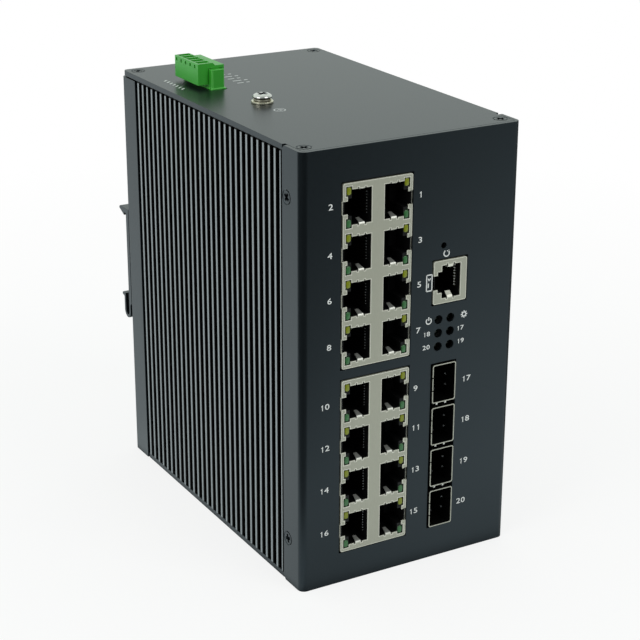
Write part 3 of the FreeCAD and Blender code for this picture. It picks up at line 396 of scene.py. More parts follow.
# Finish of each material slot, and of edges, insides and print that look different from their slot.
# Grains that are too fine to show are drawn coarser, at the few tenths of a millimetre that do.
FINISHES = {
    # Satin powder coat on steel and aluminium sheet: nearly black, with a cold sheen and a fine grain
    "dark_coat": grained_finish(
        "satin_powder_coat", "#0a0d0f", "#101417", 0.5, (0.27, 0.35), bump=0.05, tint="#dcf2ff"),
    # Black anodised extrusion: draw lines up the fins, and a painted highlight on the fin tips
    "dark_anodised": grained_finish(
        "black_anodised_extrusion", "#020202", "#050505", 0.35, (0.4, 0.55), bump=0.05,
        stretch=(1, 1, 0.02), specular=0.15, shade=("X", *FIN_TIP_HIGHLIGHT, "#8b9195")),
    # Black oxide screws: dark, slightly oily sheen
    "black_steel": grained_finish(
        "black_oxide_steel", "#0a0d0f", "#121619", 0.4, (0.25, 0.35), tint="#dcf2ff"),
    # Zinc-plated small hardware: bluish grey, lightly clouded
    "zinc_steel": grained_finish("zinc_plated_steel", "#9a9da0", "#b4b7b9", 0.8, (0.3, 0.45), 1.0),
    # Nickel-plated ground screw: bright, slightly warm, in shade under the head
    "nickel_steel": grained_finish(
        "nickel_plated_steel", "#c8c8c4", "#dededa", 0.6, (0.05, 0.12), 1.0,
        shade=("Z", *GROUND_SHADE, "#101010")),
    # Inside of its cross recess: dull grey, because it lies in shade
    "recess_steel": grained_finish("shaded_nickel_recess", "#3a3c3e", "#4a4c4e", 0.6, (0.2, 0.3), 1.0),
    # Passivated washers: as bright as the screw, with a slight yellow cast
    "brass_washer": grained_finish(
        "yellow_passivated_steel", "#bfbba4", "#dad7c4", 0.6, (0.15, 0.25), 0.8),
    # Turned brass pillars: warm yellow with a soft shine
    "pillar_brass": grained_finish("turned_brass", "#b08d45", "#c9a75c", 0.5, (0.22, 0.35), 1.0),
    # Tin-plated sheet: soft warm grey with faint rolling marks, in deep shade inside the mouths
    "shield_tin": grained_finish(
        "tin_plated_sheet", "#a0a092", "#aeaea0", 0.3, (0.4, 0.5), 0.3, bump=0.03, stretch=(1, 1, 0.15),
        shade=("Y", 0.1, 1.0, "#060606")),
    # Cages of the same sheet: cut rims in a painted highlight, and painted shade on their insides
    "cage_tin": grained_finish(
        "tin_plated_cage_sheet", "#a9a99d", "#b8b8ac", 0.3, (0.35, 0.45), 0.3, stretch=(1, 0.15, 1),
        shade=("Y", -0.66, -0.4, "#060606")),
    # Spring strips of the same sheet: a painted highlight on the lips at the mouths, then painted shade
    # behind
    "spring_tin": grained_finish(
        "tin_plated_spring_strip", "#d2d2ca", "#e2e2da", 0.3, (0.25, 0.35), 0.3,
        shade=("Y", -0.1, 0.3, "#8c8c88")),
    # Cut and folded edges of the sheet, the rim strips on its face and the console springs: a painted
    # highlight
    "highlight_tin": grained_finish("tin_edge_painted_highlight", "#d2d1c4", "#e4e3d7", 0.3, (0.3, 0.4), 0.3),
    # Small contact points: a painted highlight, dimmed by painted shade in the deep jacks
    "contact_tip": grained_finish("contact_painted_highlight", "#c4c4bf", "#d8d8d3", 0.3, (0.3, 0.4), 0.5),
    "deep_contact_tip": grained_finish("shaded_contact", "#85878b", "#989a9e", 0.3, (0.3, 0.4), 0.5),
    # Black moulded thermoplastic of the jacks: matt and nearly without a shine
    "jack_plastic": grained_finish(
        "black_moulded_thermoplastic", "#050505", "#0a0a0b", 0.4, (0.45, 0.6), specular=0.3),
    # Gold-flashed spring contacts: gold dimmed by painted shade, which darkens further with depth
    "contact_gold": grained_finish(
        "gold_flashed_contact", "#3a3220", "#4a4029", 0.4, (0.3, 0.4), 1.0,
        shade=("Y", 3.0, 8.0, "#0a0906")),
    # Clear yellow and green lamp lenses, unlit: painted shade round the edge and a painted highlight in the
    # middle
    "yellow_lens": grained_finish(
        "yellow_lamp_lens", "#3c4206", "#4c520a", 0.9, (0.15, 0.25), shade=("Y", *CAP_PAINTED_LIGHT, "#757d0e")),
    "green_lens": grained_finish(
        "green_lamp_lens", "#173a1a", "#214824", 0.9, (0.15, 0.25), shade=("Y", *CAP_PAINTED_LIGHT, "#34653a")),
    # Lamp bodies behind the lens caps: nearly black, because they lie in shade
    "lamp_body": grained_finish("shaded_lamp_body", "#0b0d08", "#15180f", 0.6, (0.4, 0.5)),
    # Smoked lenses of the indicator lamps: dark and glossy
    "indicator_lens": grained_finish("smoked_indicator_lens", "#060b08", "#0d1410", 0.6, (0.15, 0.25)),
    # Black nylon plunger: dull black
    "button_plastic": grained_finish("black_nylon", "#0a0a0b", "#131314", 0.3, (0.4, 0.5)),
    # Green moulded polyamide of the terminal: strong green with a soft shine
    "terminal_plastic": grained_finish(
        "green_polyamide", "#2d9626", "#3aa832", 0.5, (0.3, 0.4), bump=0.02),
    # Its moulded edges: a painted highlight in paler green
    "terminal_edge_highlight": grained_finish("polyamide_edge_painted_highlight", "#5fbf57", "#72cc69", 0.5, (0.3, 0.4)),
    # Tinned pins and spring clips: grey with a soft shine
    "pin_tin": grained_finish("tinned_copper", "#8e8d89", "#a9a8a2", 0.4, (0.2, 0.35), 1.0),
    # Solder-masked glass laminate: deep green, unevenly glossy
    "board_laminate": grained_finish("solder_masked_laminate", "#0f4a26", "#176034", 1.2, (0.3, 0.45)),
    # Epoxy chip packages: matt dark grey with a fine grain
    "chip_plastic": grained_finish("epoxy_package", "#151516", "#1f1f20", 0.2, (0.5, 0.6), bump=0.05),
    # Drawn metal cans of the crystal and capacitors: light grey with a soft shine
    "crystal_can": grained_finish("drawn_metal_can", "#a8a9ab", "#c2c3c4", 0.3, (0.25, 0.4), 1.0),
    # Soft silicone heat pads: dull blue-grey
    "pad_silicone": grained_finish("filled_silicone", "#68727f", "#7d8794", 0.4, (0.7, 0.85)),
    # Screen-printed ink: slightly grey, with a faint mottle where it lies thinner
    "ink": grained_finish("screen_printed_ink", "#cdcfcf", "#e2e3e3", 0.25, (0.5, 0.65)),
}


def dress_nodes():
    """Give each node the finish of its slot, and the lamps behind the lens caps their own, in painted shade.
    """
    for node, slot in SLOTS.items():
        finish = "lamp_body" if slot in ("yellow_lens", "green_lens") else slot
        mesh = frame["nodes"][node].data
        mesh.materials.clear()
        mesh.materials.append(FINISHES[finish])


def place_piece(name, mesh, slot, body="housing", stands_for=(), finish=""):
    """Link a finished mesh as a piece that rides on a body and may stand for nodes."""
    mesh.materials.append(FINISHES[finish or slot])
    piece = bpy.data.objects.new(name, mesh)
    bpy.context.scene.collection.objects.link(piece)
    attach(piece, body)
    if stands_for:
        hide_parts(*stands_for)
    return piece


def add_bevel(piece, width, segments=2, clamp=True, highlight_edge_finish=""):
    """Round the sharp edges of a piece, in a painted highlight finish of their own where one is named."""
    bevel = piece.modifiers.new("soft_edges", "BEVEL")
    bevel.use_clamp_overlap = clamp
    bevel.width = width * MM
    bevel.segments = segments
    bevel.limit_method = "ANGLE"
    bevel.angle_limit = math.radians(ROUND_FOLDS[1])
    bevel.harden_normals = True
    if highlight_edge_finish:
        piece.data.materials.append(FINISHES[highlight_edge_finish])
        bevel.material = 1


def shape_to_mesh(shape, name, smooth=False):
    """Turn a finished bmesh into a mesh, shaded smooth throughout where asked."""
    for face in shape.faces:
        face.smooth = smooth or face.smooth
    mesh = bpy.data.meshes.new(name)
    shape.to_mesh(mesh)
    shape.free()
    return mesh


def joined_mesh(name, meshes):
    """One mesh from several, which are used up."""
    shape = bmesh.new()
    for mesh in meshes:
        shape.from_mesh(mesh)
        bpy.data.meshes.remove(mesh)
    return shape_to_mesh(shape, name)


def soften_node(node, width, segments=2, clamp=True, finish="", highlight_edge_finish=""):
    """Stand-in for a node: its merged mesh with the sharp edges rounded."""
    least, most = ROUND_FOLDS
    shape = bmesh.new()
    shape.from_mesh(frame["nodes"][node].data)
    bmesh.ops.remove_doubles(shape, verts=shape.verts, dist=WELD * MM)
    bmesh.ops.dissolve_limit(shape, angle_limit=math.radians(FLAT_FOLD), verts=shape.verts,
                             edges=shape.edges)
    for face in shape.faces:
        folds = [math.degrees(edge.calc_face_angle(0)) for edge in face.edges]
        curved = any(least < fold < most for fold in folds) and all(fold > least for fold in folds)
        face.smooth = curved and max(edge.calc_length() for edge in face.edges) < SMOOTH_REACH * MM
    mesh = shape_to_mesh(shape, node + "_softened")
    piece = place_piece(node + "_softened", mesh, SLOTS[node], BODIES[node], [node], finish)
    add_bevel(piece, width, segments, clamp, highlight_edge_finish)


def loop_edges(shape, points):
    """Closed loop of edges through points, in their order."""
    verts = [shape.verts.new(point) for point in points]
    return [shape.edges.new(ends) for ends in zip(verts, verts[1:] + verts[:1])]


def lathe(profile, steps=40):
    """Skin of a (radius, height) profile turned about the upright axis."""
    shape = bmesh.new()
    verts = [shape.verts.new((radius * MM, 0, height * MM)) for radius, height in profile]
    edges = [shape.edges.new(ends) for ends in zip(verts, verts[1:])]
    bmesh.ops.spin(shape, geom=verts + edges, cent=(0, 0, 0), axis=(0, 0, 1), angle=2 * math.pi, steps=steps,
                   use_merge=True)
    bmesh.ops.remove_doubles(shape, verts=shape.verts, dist=WELD * MM)
    bmesh.ops.recalc_face_normals(shape, faces=shape.faces)
    return shape


def cross_outline(arm, half, height):
    """Outline of a cross recess at a height."""
    corner = [Vector((half, half)), Vector((half, arm)), Vector((-half, arm))]
    points = []
    for turn in range(4):
        spin = Matrix.Rotation(turn * math.pi / 2, 2)
        points += [spin @ point for point in corner]
    return [Vector((point.x * MM, point.y * MM, height * MM)) for point in points]


def cross_head(shape, height, arm, half, depth):
    """Close a lathed skin's upper rim with a face that holds a cross recess, and give the recess's faces."""
    upper = {vertex for vertex in shape.verts if vertex.co.z > (height - HAIR) * MM}
    rim = [edge for edge in shape.edges if edge.is_boundary and upper.issuperset(edge.verts)]
    mouth = loop_edges(shape, cross_outline(arm, half, height))
    bmesh.ops.triangle_fill(shape, use_beauty=True, edges=rim + mouth)
    sunk = bmesh.ops.extrude_edge_only(shape, edges=mouth)["geom"]
    low = [element for element in sunk if isinstance(element, bmesh.types.BMVert)]
    bmesh.ops.scale(shape, vec=(RECESS_TAPER, RECESS_TAPER, 1), verts=low)
    bmesh.ops.translate(shape, vec=(0, 0, -depth * MM), verts=low)
    floor = [element for element in sunk if isinstance(element, bmesh.types.BMEdge)]
    bmesh.ops.triangle_fill(shape, use_beauty=True, edges=floor)
    bmesh.ops.recalc_face_normals(shape, faces=shape.faces)
    return {face for vertex in low for face in vertex.link_faces}


def make_screws():
    """Countersunk screws with cross recesses, each turned further than the one before it in its group."""
    shape = lathe(SCREW_PROFILE)
    cross_head(shape, SCREW_PROFILE[-1][1], *SCREW_RECESS)
    screw = shape_to_mesh(shape, "sunk_screw")
    for node, places in SCREW_GROUPS.items():
        copies = []
        for place, way in places:
            copy = screw.copy()
            lean = Vector((0, 0, 1)).rotation_difference(Vector(way)).to_matrix().to_4x4()
            turn = Matrix.Rotation(math.radians(FIRST_TURN + NEXT_TURN * len(copies)), 4, "Z")
            copy.transform(Matrix.Translation(at(*place)) @ lean @ turn)
            copies.append(copy)
        place_piece(node + "_detailed", joined_mesh(node, copies), SLOTS[node], stands_for=[node])
    bpy.data.meshes.remove(screw)


def ground_matrix(turn=0):
    """Place of the ground set on the top plate, turned about its axis."""
    return Matrix.Translation(at(*GROUND_PLACE, TOP)) @ Matrix.Rotation(math.radians(turn), 4, "Z")


def make_flat_washer():
    """Turned flat washer of the ground set."""
    mesh = shape_to_mesh(lathe(FLAT_WASHER), "flat_washer", smooth=True)
    mesh.transform(ground_matrix())
    piece = place_piece("ground_flat_washer_turned", mesh, "brass_washer", stands_for=["ground_flat_washer"])
    add_bevel(piece, WASHER_EDGE)


def make_spring_washer():
    """Split spring washer of the ground set, wound from its section."""
    shape = bmesh.new()
    section = shape.faces.new([shape.verts.new((radius * MM, 0, up * MM)) for radius, up in SPRING_WASHER])
    bmesh.ops.spin(shape, geom=[section], cent=(0, 0, 0), axis=(0, 0, 1), steps=SPRING_WASHER_STEPS,
                   dvec=(0, 0, SPRING_WASHER_RISE * MM), angle=math.radians(SPRING_WASHER_SWEEP))
    bmesh.ops.recalc_face_normals(shape, faces=shape.faces)
    mesh = shape_to_mesh(shape, "spring_washer")
    mesh.transform(ground_matrix(SPRING_WASHER_TURN))
    place_piece("ground_spring_washer_wound", mesh, "nickel_steel", stands_for=["ground_spring_washer"],
                finish="brass_washer")


def make_ground_screw():
    """Ground screw with a domed head, its recess in a finish of its own with painted shade."""
    shape = lathe(GROUND_SCREW)
    for face in cross_head(shape, GROUND_SCREW[-1][1], *GROUND_RECESS):
        face.material_index = 1
    mesh = shape_to_mesh(shape, "ground_screw", smooth=True)
    mesh.set_sharp_from_angle(angle=math.radians(GROUND_SHARP))
    mesh.transform(ground_matrix(GROUND_TURN))
    piece = place_piece("ground_screw_domed", mesh, "nickel_steel", stands_for=["ground_screw"])
    piece.data.materials.append(FINISHES["recess_steel"])


def arc(x, z, radius, start, end, steps=5):
    """Points on an arc in a plane, anticlockwise from the plane's first axis."""
    angles = [math.radians(start + (end - start) * step / steps) for step in range(steps + 1)]
    return [(x + radius * math.cos(angle), z + radius * math.sin(angle)) for angle in angles]


def round_ends(left, right, low, high):
    """Lower and upper end of a shield's face with its round corners, both anticlockwise."""
    inner_left, inner_right = left + SHIELD_CORNER, right - SHIELD_CORNER
    inner_low, inner_high = low + SHIELD_CORNER, high - SHIELD_CORNER
    lower = arc(inner_left, inner_low, SHIELD_CORNER, 180, 270)
    lower += arc(inner_right, inner_low, SHIELD_CORNER, 270, 360)
    upper = arc(inner_right, inner_high, SHIELD_CORNER, 0, 90)
    upper += arc(inner_left, inner_high, SHIELD_CORNER, 90, 180)
    return lower, upper


def slit_points(spring, edge, deep):
    """Stretch of a mouth's edge with a relief slit on each side of a spring."""
    points = []
    for near in (spring - SPRING_HALF - RELIEF, spring + SPRING_HALF):
        far = near + RELIEF
        points += [(near, edge), (near, deep), (far, deep), (far, edge)]
    return points


def jack_middles(low, high):
    """Heights of a block's jacks, from the lowest up."""
    first = (low + high - JACK_PITCH * (JACK_ROWS - 1)) / 2
    return [first + JACK_PITCH * row for row in range(JACK_ROWS)]


def port_outline(middle, side):
    """Hole in a shield for one jack: mouth with relief slits beside its springs, windows and latch slot."""
    near, far = WINDOW_OUT
    low, high = WINDOW_UP
    half = [(MOUTH_NEAR, MOUTH_EDGE)] + slit_points(SPRING_PLACE, MOUTH_EDGE, MOUTH_SLIT)
    half += [(near, MOUTH_EDGE), (near, high), (far, high), (far, low), (LATCH_NEAR, low)]
    half += [(LATCH_NEAR, LATCH_HALF), (JACK_HALF + BULGE - TIN, LATCH_HALF)]
    points = half + [(out, -up) for out, up in reversed(half)]
    return [(JACK_MIDDLE + side * out, middle + up) for out, up in points]


def block_outline(low, high):
    """Outline of a stacked shield's face with a bulge beside each latch."""
    left = JACK_MIDDLE - JACK_HALF
    right = JACK_MIDDLE + JACK_HALF
    bulges = []
    for middle in jack_middles(low, high):
        bulges += [(0, middle - BULGE_FOOT), (BULGE, middle - LATCH_HALF)]
        bulges += [(BULGE, middle + LATCH_HALF), (0, middle + BULGE_FOOT)]
    lower, upper = round_ends(left, right, low, high)
    right_side = [(right + out, z) for out, z in bulges]
    left_side = [(left - out, z) for out, z in reversed(bulges)]
    return lower + right_side + upper + left_side


def console_outline():
    """Outline of the console shield's face, open at its latch, and how many of its edges fold back."""
    left, right, low, high = CONSOLE
    lower, upper = round_ends(left, right, low, high)
    outline = [(left, CONSOLE_MIDDLE - CONSOLE_LATCH)] + lower + upper
    outline.append((left, CONSOLE_MIDDLE + CONSOLE_LATCH))
    folded = len(outline) - 1
    slits = slit_points(CONSOLE_SPRING, CONSOLE_EDGE, CONSOLE_SLIT)
    mouth = CONSOLE_MOUTH + slits + [(CONSOLE_WALL, CONSOLE_EDGE)]
    outline += [(x, CONSOLE_MIDDLE + up) for x, up in mouth]
    outline += [(x, CONSOLE_MIDDLE - up) for x, up in reversed(mouth)]
    return outline, folded


def folded_can(name, outline, folded, holes, back):
    """Face of thin sheet with holes, folded back along the first edges of its outline."""
    shape = bmesh.new()
    rim = loop_edges(shape, [at(x, SHIELD_FACE, z) for x, z in outline])
    edges = list(rim)
    for hole in holes:
        edges += loop_edges(shape, [at(x, SHIELD_FACE, z) for x, z in hole])
    bmesh.ops.triangle_fill(shape, use_beauty=True, edges=edges, normal=(0, -1, 0))
    for element in bmesh.ops.extrude_edge_only(shape, edges=rim[:folded])["geom"]:
        if isinstance(element, bmesh.types.BMVert):
            element.co.y = FRONT + back * MM
    bmesh.ops.recalc_face_normals(shape, faces=shape.faces)
    return shape_to_mesh(shape, name)


def rim_band(loop, near, far):
    """Quads of a strip beside a closed loop, from near to far inside it, or outside for negative values."""
    points = [Vector(point) for point in loop]
    around = list(zip(points[-1:] + points[:-1], points, points[1:] + points[:1]))
    area = sum(before.x * point.y - point.x * before.y for before, point, after in around)
    inward = 1 if area > 0 else -1
    sides = []
    for before, point, after in around:
        first = (point - before).orthogonal().normalized()
        second = (after - point).orthogonal().normalized()
        sides.append((first + second) / (1 + first.dot(second)) * inward)
    inner = [point + side * near for point, side in zip(points, sides)]
    outer = [point + side * far for point, side in zip(points, sides)]
    return [[inner[end - 1], inner[end], outer[end], outer[end - 1]] for end in range(len(points))]


def flat_mesh(name, polygons, place, facing):
    """Flat mesh of polygons, each corner put in place by a function, all facing one way."""
    shape = bmesh.new()
    for points in polygons:
        face = shape.faces.new([shape.verts.new(place(*point)) for point in points])
        face.normal_update()
        if face.normal.dot(Vector(facing)) < 0:
            face.normal_flip()
    return shape_to_mesh(shape, name)


def rim_mesh(outline, holes):
    """Strips of painted highlight on a shield's face, along its outline and its holes."""
    near, far = RIM
    quads = rim_band(outline, near, far)
    for hole in holes:
        quads += rim_band(hole, -near, -far)
    return flat_mesh("rims", quads, lambda x, z: at(x, SHIELD_FACE - RIM_LIFT, z), (0, -1, 0))


def sheet_piece(node, mesh):
    """Sheet-metal stand-in for a shield node: given its thickness inwards and soft edges in a painted
    highlight.
    """
    piece = place_piece(node + "_folded", mesh, "shield_tin", stands_for=[node])
    solid = piece.modifiers.new("sheet", "SOLIDIFY")
    solid.thickness = TIN * MM
    solid.offset = -1
    add_bevel(piece, SHIELD_EDGE, highlight_edge_finish="highlight_tin")


def set_latches_back(mesh):
    """Move the face's strips beside the right-hand latches back."""
    edge = at(JACK_MIDDLE + JACK_HALF + HAIR, 0, 0).x
    for vertex in mesh.vertices:
        if vertex.co.x > edge and vertex.co.y < FRONT:
            vertex.co.y += LATCH_SET_BACK * MM


def prism_mesh(corners, reach):
    """Straight prism from its corners and its reach."""
    shape = bmesh.new()
    face = shape.faces.new([shape.verts.new(at(*corner)) for corner in corners])
    made = bmesh.ops.extrude_face_region(shape, geom=[face])["geom"]
    moved = [element for element in made if isinstance(element, bmesh.types.BMVert)]
    bmesh.ops.translate(shape, vec=Vector(reach) * MM, verts=moved)
    bmesh.ops.recalc_face_normals(shape, faces=shape.faces)
    return shape_to_mesh(shape, "prism")


def spring_mesh(x, edge, inward, path, half, taper=1.0):
    """Bent spring strip from a mouth's edge, narrower at its tip; path holds (depth, rise) from the edge."""
    upper = [(y, edge + inward * rise) for y, rise in path]
    lower = [(y + STRIP_BACK, z - inward * STRIP_THICK) for y, z in reversed(upper)]
    mesh = prism_mesh([(x - half, y, z) for y, z in upper + lower], (2 * half, 0, 0))
    tip = at(x, path[-1][0], 0)
    for vertex in mesh.vertices:
        if vertex.co.y > tip.y - HAIR * MM:
            vertex.co.x = tip.x + (vertex.co.x - tip.x) * taper
    return mesh


def make_shields():
    """Tin shields of the jack blocks and the console jack, with their grounding springs and rims of painted
    highlight.
    """
    springs = []
    rims = []
    for name, limits in JACK_BLOCKS.items():
        node = name + "_jack_shield"
        outline = block_outline(*limits)
        ports = [(middle, side) for middle in jack_middles(*limits) for side in SIDES]
        holes = [port_outline(middle, side) for middle, side in ports]
        mesh = folded_can(node, outline, len(outline), holes, JACK_BACK)
        set_latches_back(mesh)
        sheet_piece(node, mesh)
        rim = rim_mesh(outline, holes)
        set_latches_back(rim)
        rims.append(rim)
        for middle, side in ports:
            x = JACK_MIDDLE + side * SPRING_PLACE
            for inward in SIDES:
                edge = middle - inward * MOUTH_EDGE
                path = JACK_SPRINGS[inward]
                springs.append(spring_mesh(x, edge, inward, path, STRIP_HALF, STRIP_TAPER))

    outline, folded = console_outline()
    sheet_piece("console_jack_shield", folded_can("console_jack_shield", outline, folded, [], CONSOLE_BACK))
    rims.append(rim_mesh(outline, []))
    strips = []
    for inward, path in CONSOLE_SPRINGS.items():
        edge = CONSOLE_MIDDLE - inward * CONSOLE_EDGE
        strips.append(spring_mesh(CONSOLE_SPRING, edge, inward, path, STRIP_HALF))
    # Rims and console springs in a painted highlight; jack springs with a painted highlight at the lips and
    # painted shade behind
    place_piece("jack_shield_rims", joined_mesh("jack_shield_rims", rims), "shield_tin", finish="highlight_tin")
    place_piece("console_springs", joined_mesh("console_springs", strips), "shield_tin", finish="highlight_tin")
    place_piece("jack_springs", joined_mesh("jack_springs", springs), "shield_tin", finish="spring_tin")


def tip_row(wall, way, middle, depth, size):
    """Contact points of one jack on its rising contacts; way is 1 or -1 along x into the mouth."""
    rise = (depth - CONTACT_FRONT) * CONTACT_SLOPE
    corners = [(wall + way * (rise + out * size), depth + deep * size) for out, deep in TIP_RIDGE]
    lowest = middle - (CONTACT_COUNT - 1) / 2 * CONTACT_PITCH - size / 2
    heights = [lowest + number * CONTACT_PITCH for number in range(CONTACT_COUNT)]
    return [prism_mesh([(x, y, z) for x, y in corners], (0, 0, size)) for z in heights]


def make_contact_tips():
    """Points of painted highlight on the contacts in the console jack and the stacked jacks."""
    tips = tip_row(CONSOLE_WALL, -1, CONSOLE_MIDDLE + CONSOLE_TIP_LIFT, *CONSOLE_TIP)
    place_piece("console_contact_tips", joined_mesh("console_contact_tips", tips), "contact_gold",
                finish="contact_tip")
    tips = []
    for limits in JACK_BLOCKS.values():
        for middle in jack_middles(*limits):
            for side in SIDES:
                tips += tip_row(JACK_MIDDLE + side * MOUTH_NEAR, side, middle, *JACK_TIP)
    place_piece("jack_contact_tips", joined_mesh("jack_contact_tips", tips), "contact_gold",
                finish="deep_contact_tip")


def make_cage_details():
    """Grounding fingers between the cages, and the small tabs inside them, in a painted highlight."""
    middles = [CAGE_LOWEST + number * CAGE_PITCH for number in range(CAGE_COUNT)]
    fingers = [spring_mesh(x, middle - CAGE_HALF, -1, FINGER_PATH, FINGER_HALF)
               for middle in middles[1:] for x in FINGER_PLACES]
    tabs = []
    for middle in middles:
        for up in WALL_TAB_HEIGHTS:
            corners = [(CAGE_WALL + out, y, middle + up) for out, y in WALL_TAB]
            tabs.append(prism_mesh(corners, (0, 0, WALL_TAB_LONG)))
        floor = middle - CAGE_HALF + CAGE_FLOOR
        corners = [(FLOOR_TAB_PLACE, y, floor + rise) for y, rise in FLOOR_TAB]
        tabs.append(prism_mesh(corners, (FLOOR_TAB_LONG, 0, 0)))
    place_piece("cage_fingers", joined_mesh("cage_fingers", fingers), "shield_tin", finish="contact_tip")
    place_piece("cage_tabs", joined_mesh("cage_tabs", tabs), "shield_tin", finish="deep_contact_tip")


def lamp_cap(left, right, low, high):
    """Domed lens cap in a lamp window of a shield."""
    shape = bmesh.new()
    bmesh.ops.create_cube(shape, size=1.0)
    bmesh.ops.scale(shape, vec=Vector((right - left, CAP_DEEP, high - low)) * MM, verts=shape.verts)
    corners = [edge for edge in shape.edges if edge.verts[0].co.y * edge.verts[1].co.y < 0]
    bmesh.ops.bevel(shape, geom=corners, offset=CAP_CORNER * MM, segments=CAP_CORNER_STEPS, profile=0.5,
                    affect="EDGES", material=-1)
    front = [face for face in shape.faces if face.normal.y < -0.9]
    for inset, rise in CAP_STEPS:
        bmesh.ops.inset_region(shape, faces=front, thickness=inset * MM, depth=rise * MM,
                               use_even_offset=True)
    mesh = shape_to_mesh(shape, "cap", smooth=True)
    mesh.transform(Matrix.Translation(at((left + right) / 2, CAP_MIDDLE, (low + high) / 2)))
    return mesh


def make_lamp_caps():
    """Yellow and green lens caps beside the jacks, in front of the lamps."""
    for name, limits in JACK_BLOCKS.items():
        for colour, (low, high) in CAP_HEIGHTS.items():
            caps = []
            for middle in jack_middles(*limits):
                for side in SIDES:
                    left, right = sorted(JACK_MIDDLE + side * out for out in CAP_OUT)
                    caps.append(lamp_cap(left, right, middle + low, middle + high))
            piece = name + "_jack_" + colour + "_caps"
            place_piece(piece, joined_mesh(piece, caps), colour + "_lens")


def make_indicator_lenses():
    """Domed lenses of the indicator lamps."""
    forward = Matrix.Rotation(math.radians(90), 4, "X")
    lenses = []
    for x in LAMP_COLUMNS:
        for z in LAMP_ROWS:
            lens = shape_to_mesh(lathe(LENS_PROFILE, LENS_STEPS), "lens", smooth=True)
            lens.set_sharp_from_angle(angle=math.radians(LENS_SHARP))
            lens.transform(Matrix.Translation(at(x, LENS_DEPTH, z)) @ forward)
            lenses.append(lens)
    place_piece("indicator_lenses", joined_mesh("indicator_lenses", lenses), "indicator_lens",
                stands_for=["indicator_lights"])


def text_mesh(text, height):
    """Flat mesh of a text, centred on the origin in the xz plane and facing the front."""
    curve = bpy.data.curves.new("text", "FONT")
    curve.body = text
    curve.align_x = "CENTER"
    curve.align_y = "CENTER"
    curve.size = height * MM / DIGIT_SHARE
    curve.offset = DIGIT_SWELL * MM
    curve.resolution_u = DIGIT_CURVE_STEPS
    holder = bpy.data.objects.new("text", curve)
    bpy.context.scene.collection.objects.link(holder)
    bpy.context.view_layer.update()
    mesh = bpy.data.meshes.new_from_object(holder.evaluated_get(bpy.context.evaluated_depsgraph_get()))
    bpy.data.objects.remove(holder)
    mesh.transform(Matrix.Rotation(math.radians(90), 4, "X") @ Matrix.Scale(DIGIT_STRETCH, 4, (1, 0, 0)))
    return mesh


def one_mesh(height):
    """Flat mesh of a figure one with its flag, laid out as the texts are."""
    shape = bmesh.new()
    shape.faces.new([shape.verts.new((x * height * MM, 0, z * height * MM)) for x, z in FIGURE_ONE])
    return shape_to_mesh(shape, "one")


def number_mesh(number, height):
    """Flat mesh of a number, its figures evenly spaced about the origin."""
    figures = str(number)
    meshes = []
    for place, figure in enumerate(figures):
        mesh = one_mesh(height) if figure == "1" else text_mesh(figure, height)
        shift = (place - (len(figures) - 1) / 2) * DIGIT_ADVANCE * height
        mesh.transform(Matrix.Translation((shift * MM, 0, 0)))
        meshes.append(mesh)
    return joined_mesh("number", meshes)


def print_numbers():
    """Port and lamp numbers on the front panel."""
    groups = {"left_port_numbers": LEFT_NUMBERS, "right_port_numbers": RIGHT_NUMBERS,
              "cage_numbers": CAGE_NUMBERS, "lamp_numbers": LAMP_NUMBERS}
    for name, numbers in groups.items():
        height = LAMP_DIGIT_HEIGHT if name == "lamp_numbers" else DIGIT_HEIGHT
        meshes = []
        for number, (x, z) in numbers.items():
            mesh = number_mesh(number, height)
            mesh.transform(Matrix.Translation(at(x, -INK_LIFT, z)))
            meshes.append(mesh)
        place_piece(name, joined_mesh(name, meshes), "dark_coat", finish="ink")


def band(across, up, radius, start, end, steps=20, width=STROKE):
    """Quads of a printed arc."""
    outer = arc(across, up, radius + width / 2, start, end, steps)
    inner = arc(across, up, radius - width / 2, start, end, steps)
    return [[outer[step], outer[step + 1], inner[step + 1], inner[step]] for step in range(steps)]


def bar(first, second, width=STROKE):
    """Quad of a printed straight stroke between two points."""
    start = Vector(first)
    end = Vector(second)
    side = (end - start).orthogonal().normalized() * width / 2
    return [[start + side, start - side, end - side, end + side]]


def print_shapes(name, polygons, on_top=False):
    """Flat printed mark from polygons, on the front panel or on the top plate."""
    if on_top:
        mesh = flat_mesh(name, polygons, lambda x, y: at(x, y, TOP + INK_LIFT), (0, 0, 1))
    else:
        mesh = flat_mesh(name, polygons, lambda x, z: at(x, -INK_LIFT, z), (0, -1, 0))
    place_piece(name, mesh, "dark_coat", finish="ink")


def print_front_marks():
    """Plain symbols on the front panel: a turning arrow, a screen, the power sign and a gear."""
    x, z = RESET_MARK
    arrow = [(x + out, z + up) for out, up in RESET_ARROW]
    print_shapes("reset_mark", band(x, z, RESET_RADIUS, *RESET_SWEEP) + [arrow])

    left, right, low, high = SCREEN_MARK
    screen = bar((left, low), (left, high)) + bar((right, low), (right, high))
    screen += bar((left, low), (right, low)) + bar((left, high), (right, high))
    for start, end in PROMPT:
        screen += bar(start, end)
    print_shapes("console_mark", screen)

    x, z = POWER_MARK
    low, high = POWER_STROKE
    print_shapes("power_mark", band(x, z, POWER_RADIUS, *POWER_SWEEP) + bar((x, z + low), (x, z + high)))

    x, z = GEAR_MARK
    gear = band(x, z, GEAR_RADIUS, 0, 360)
    root, tip = [arc(x, z, reach, 0, 360, GEAR_TEETH) for reach in TOOTH_REACH]
    for tooth in range(GEAR_TEETH):
        gear += bar(root[tooth], tip[tooth])
    print_shapes("system_mark", gear)


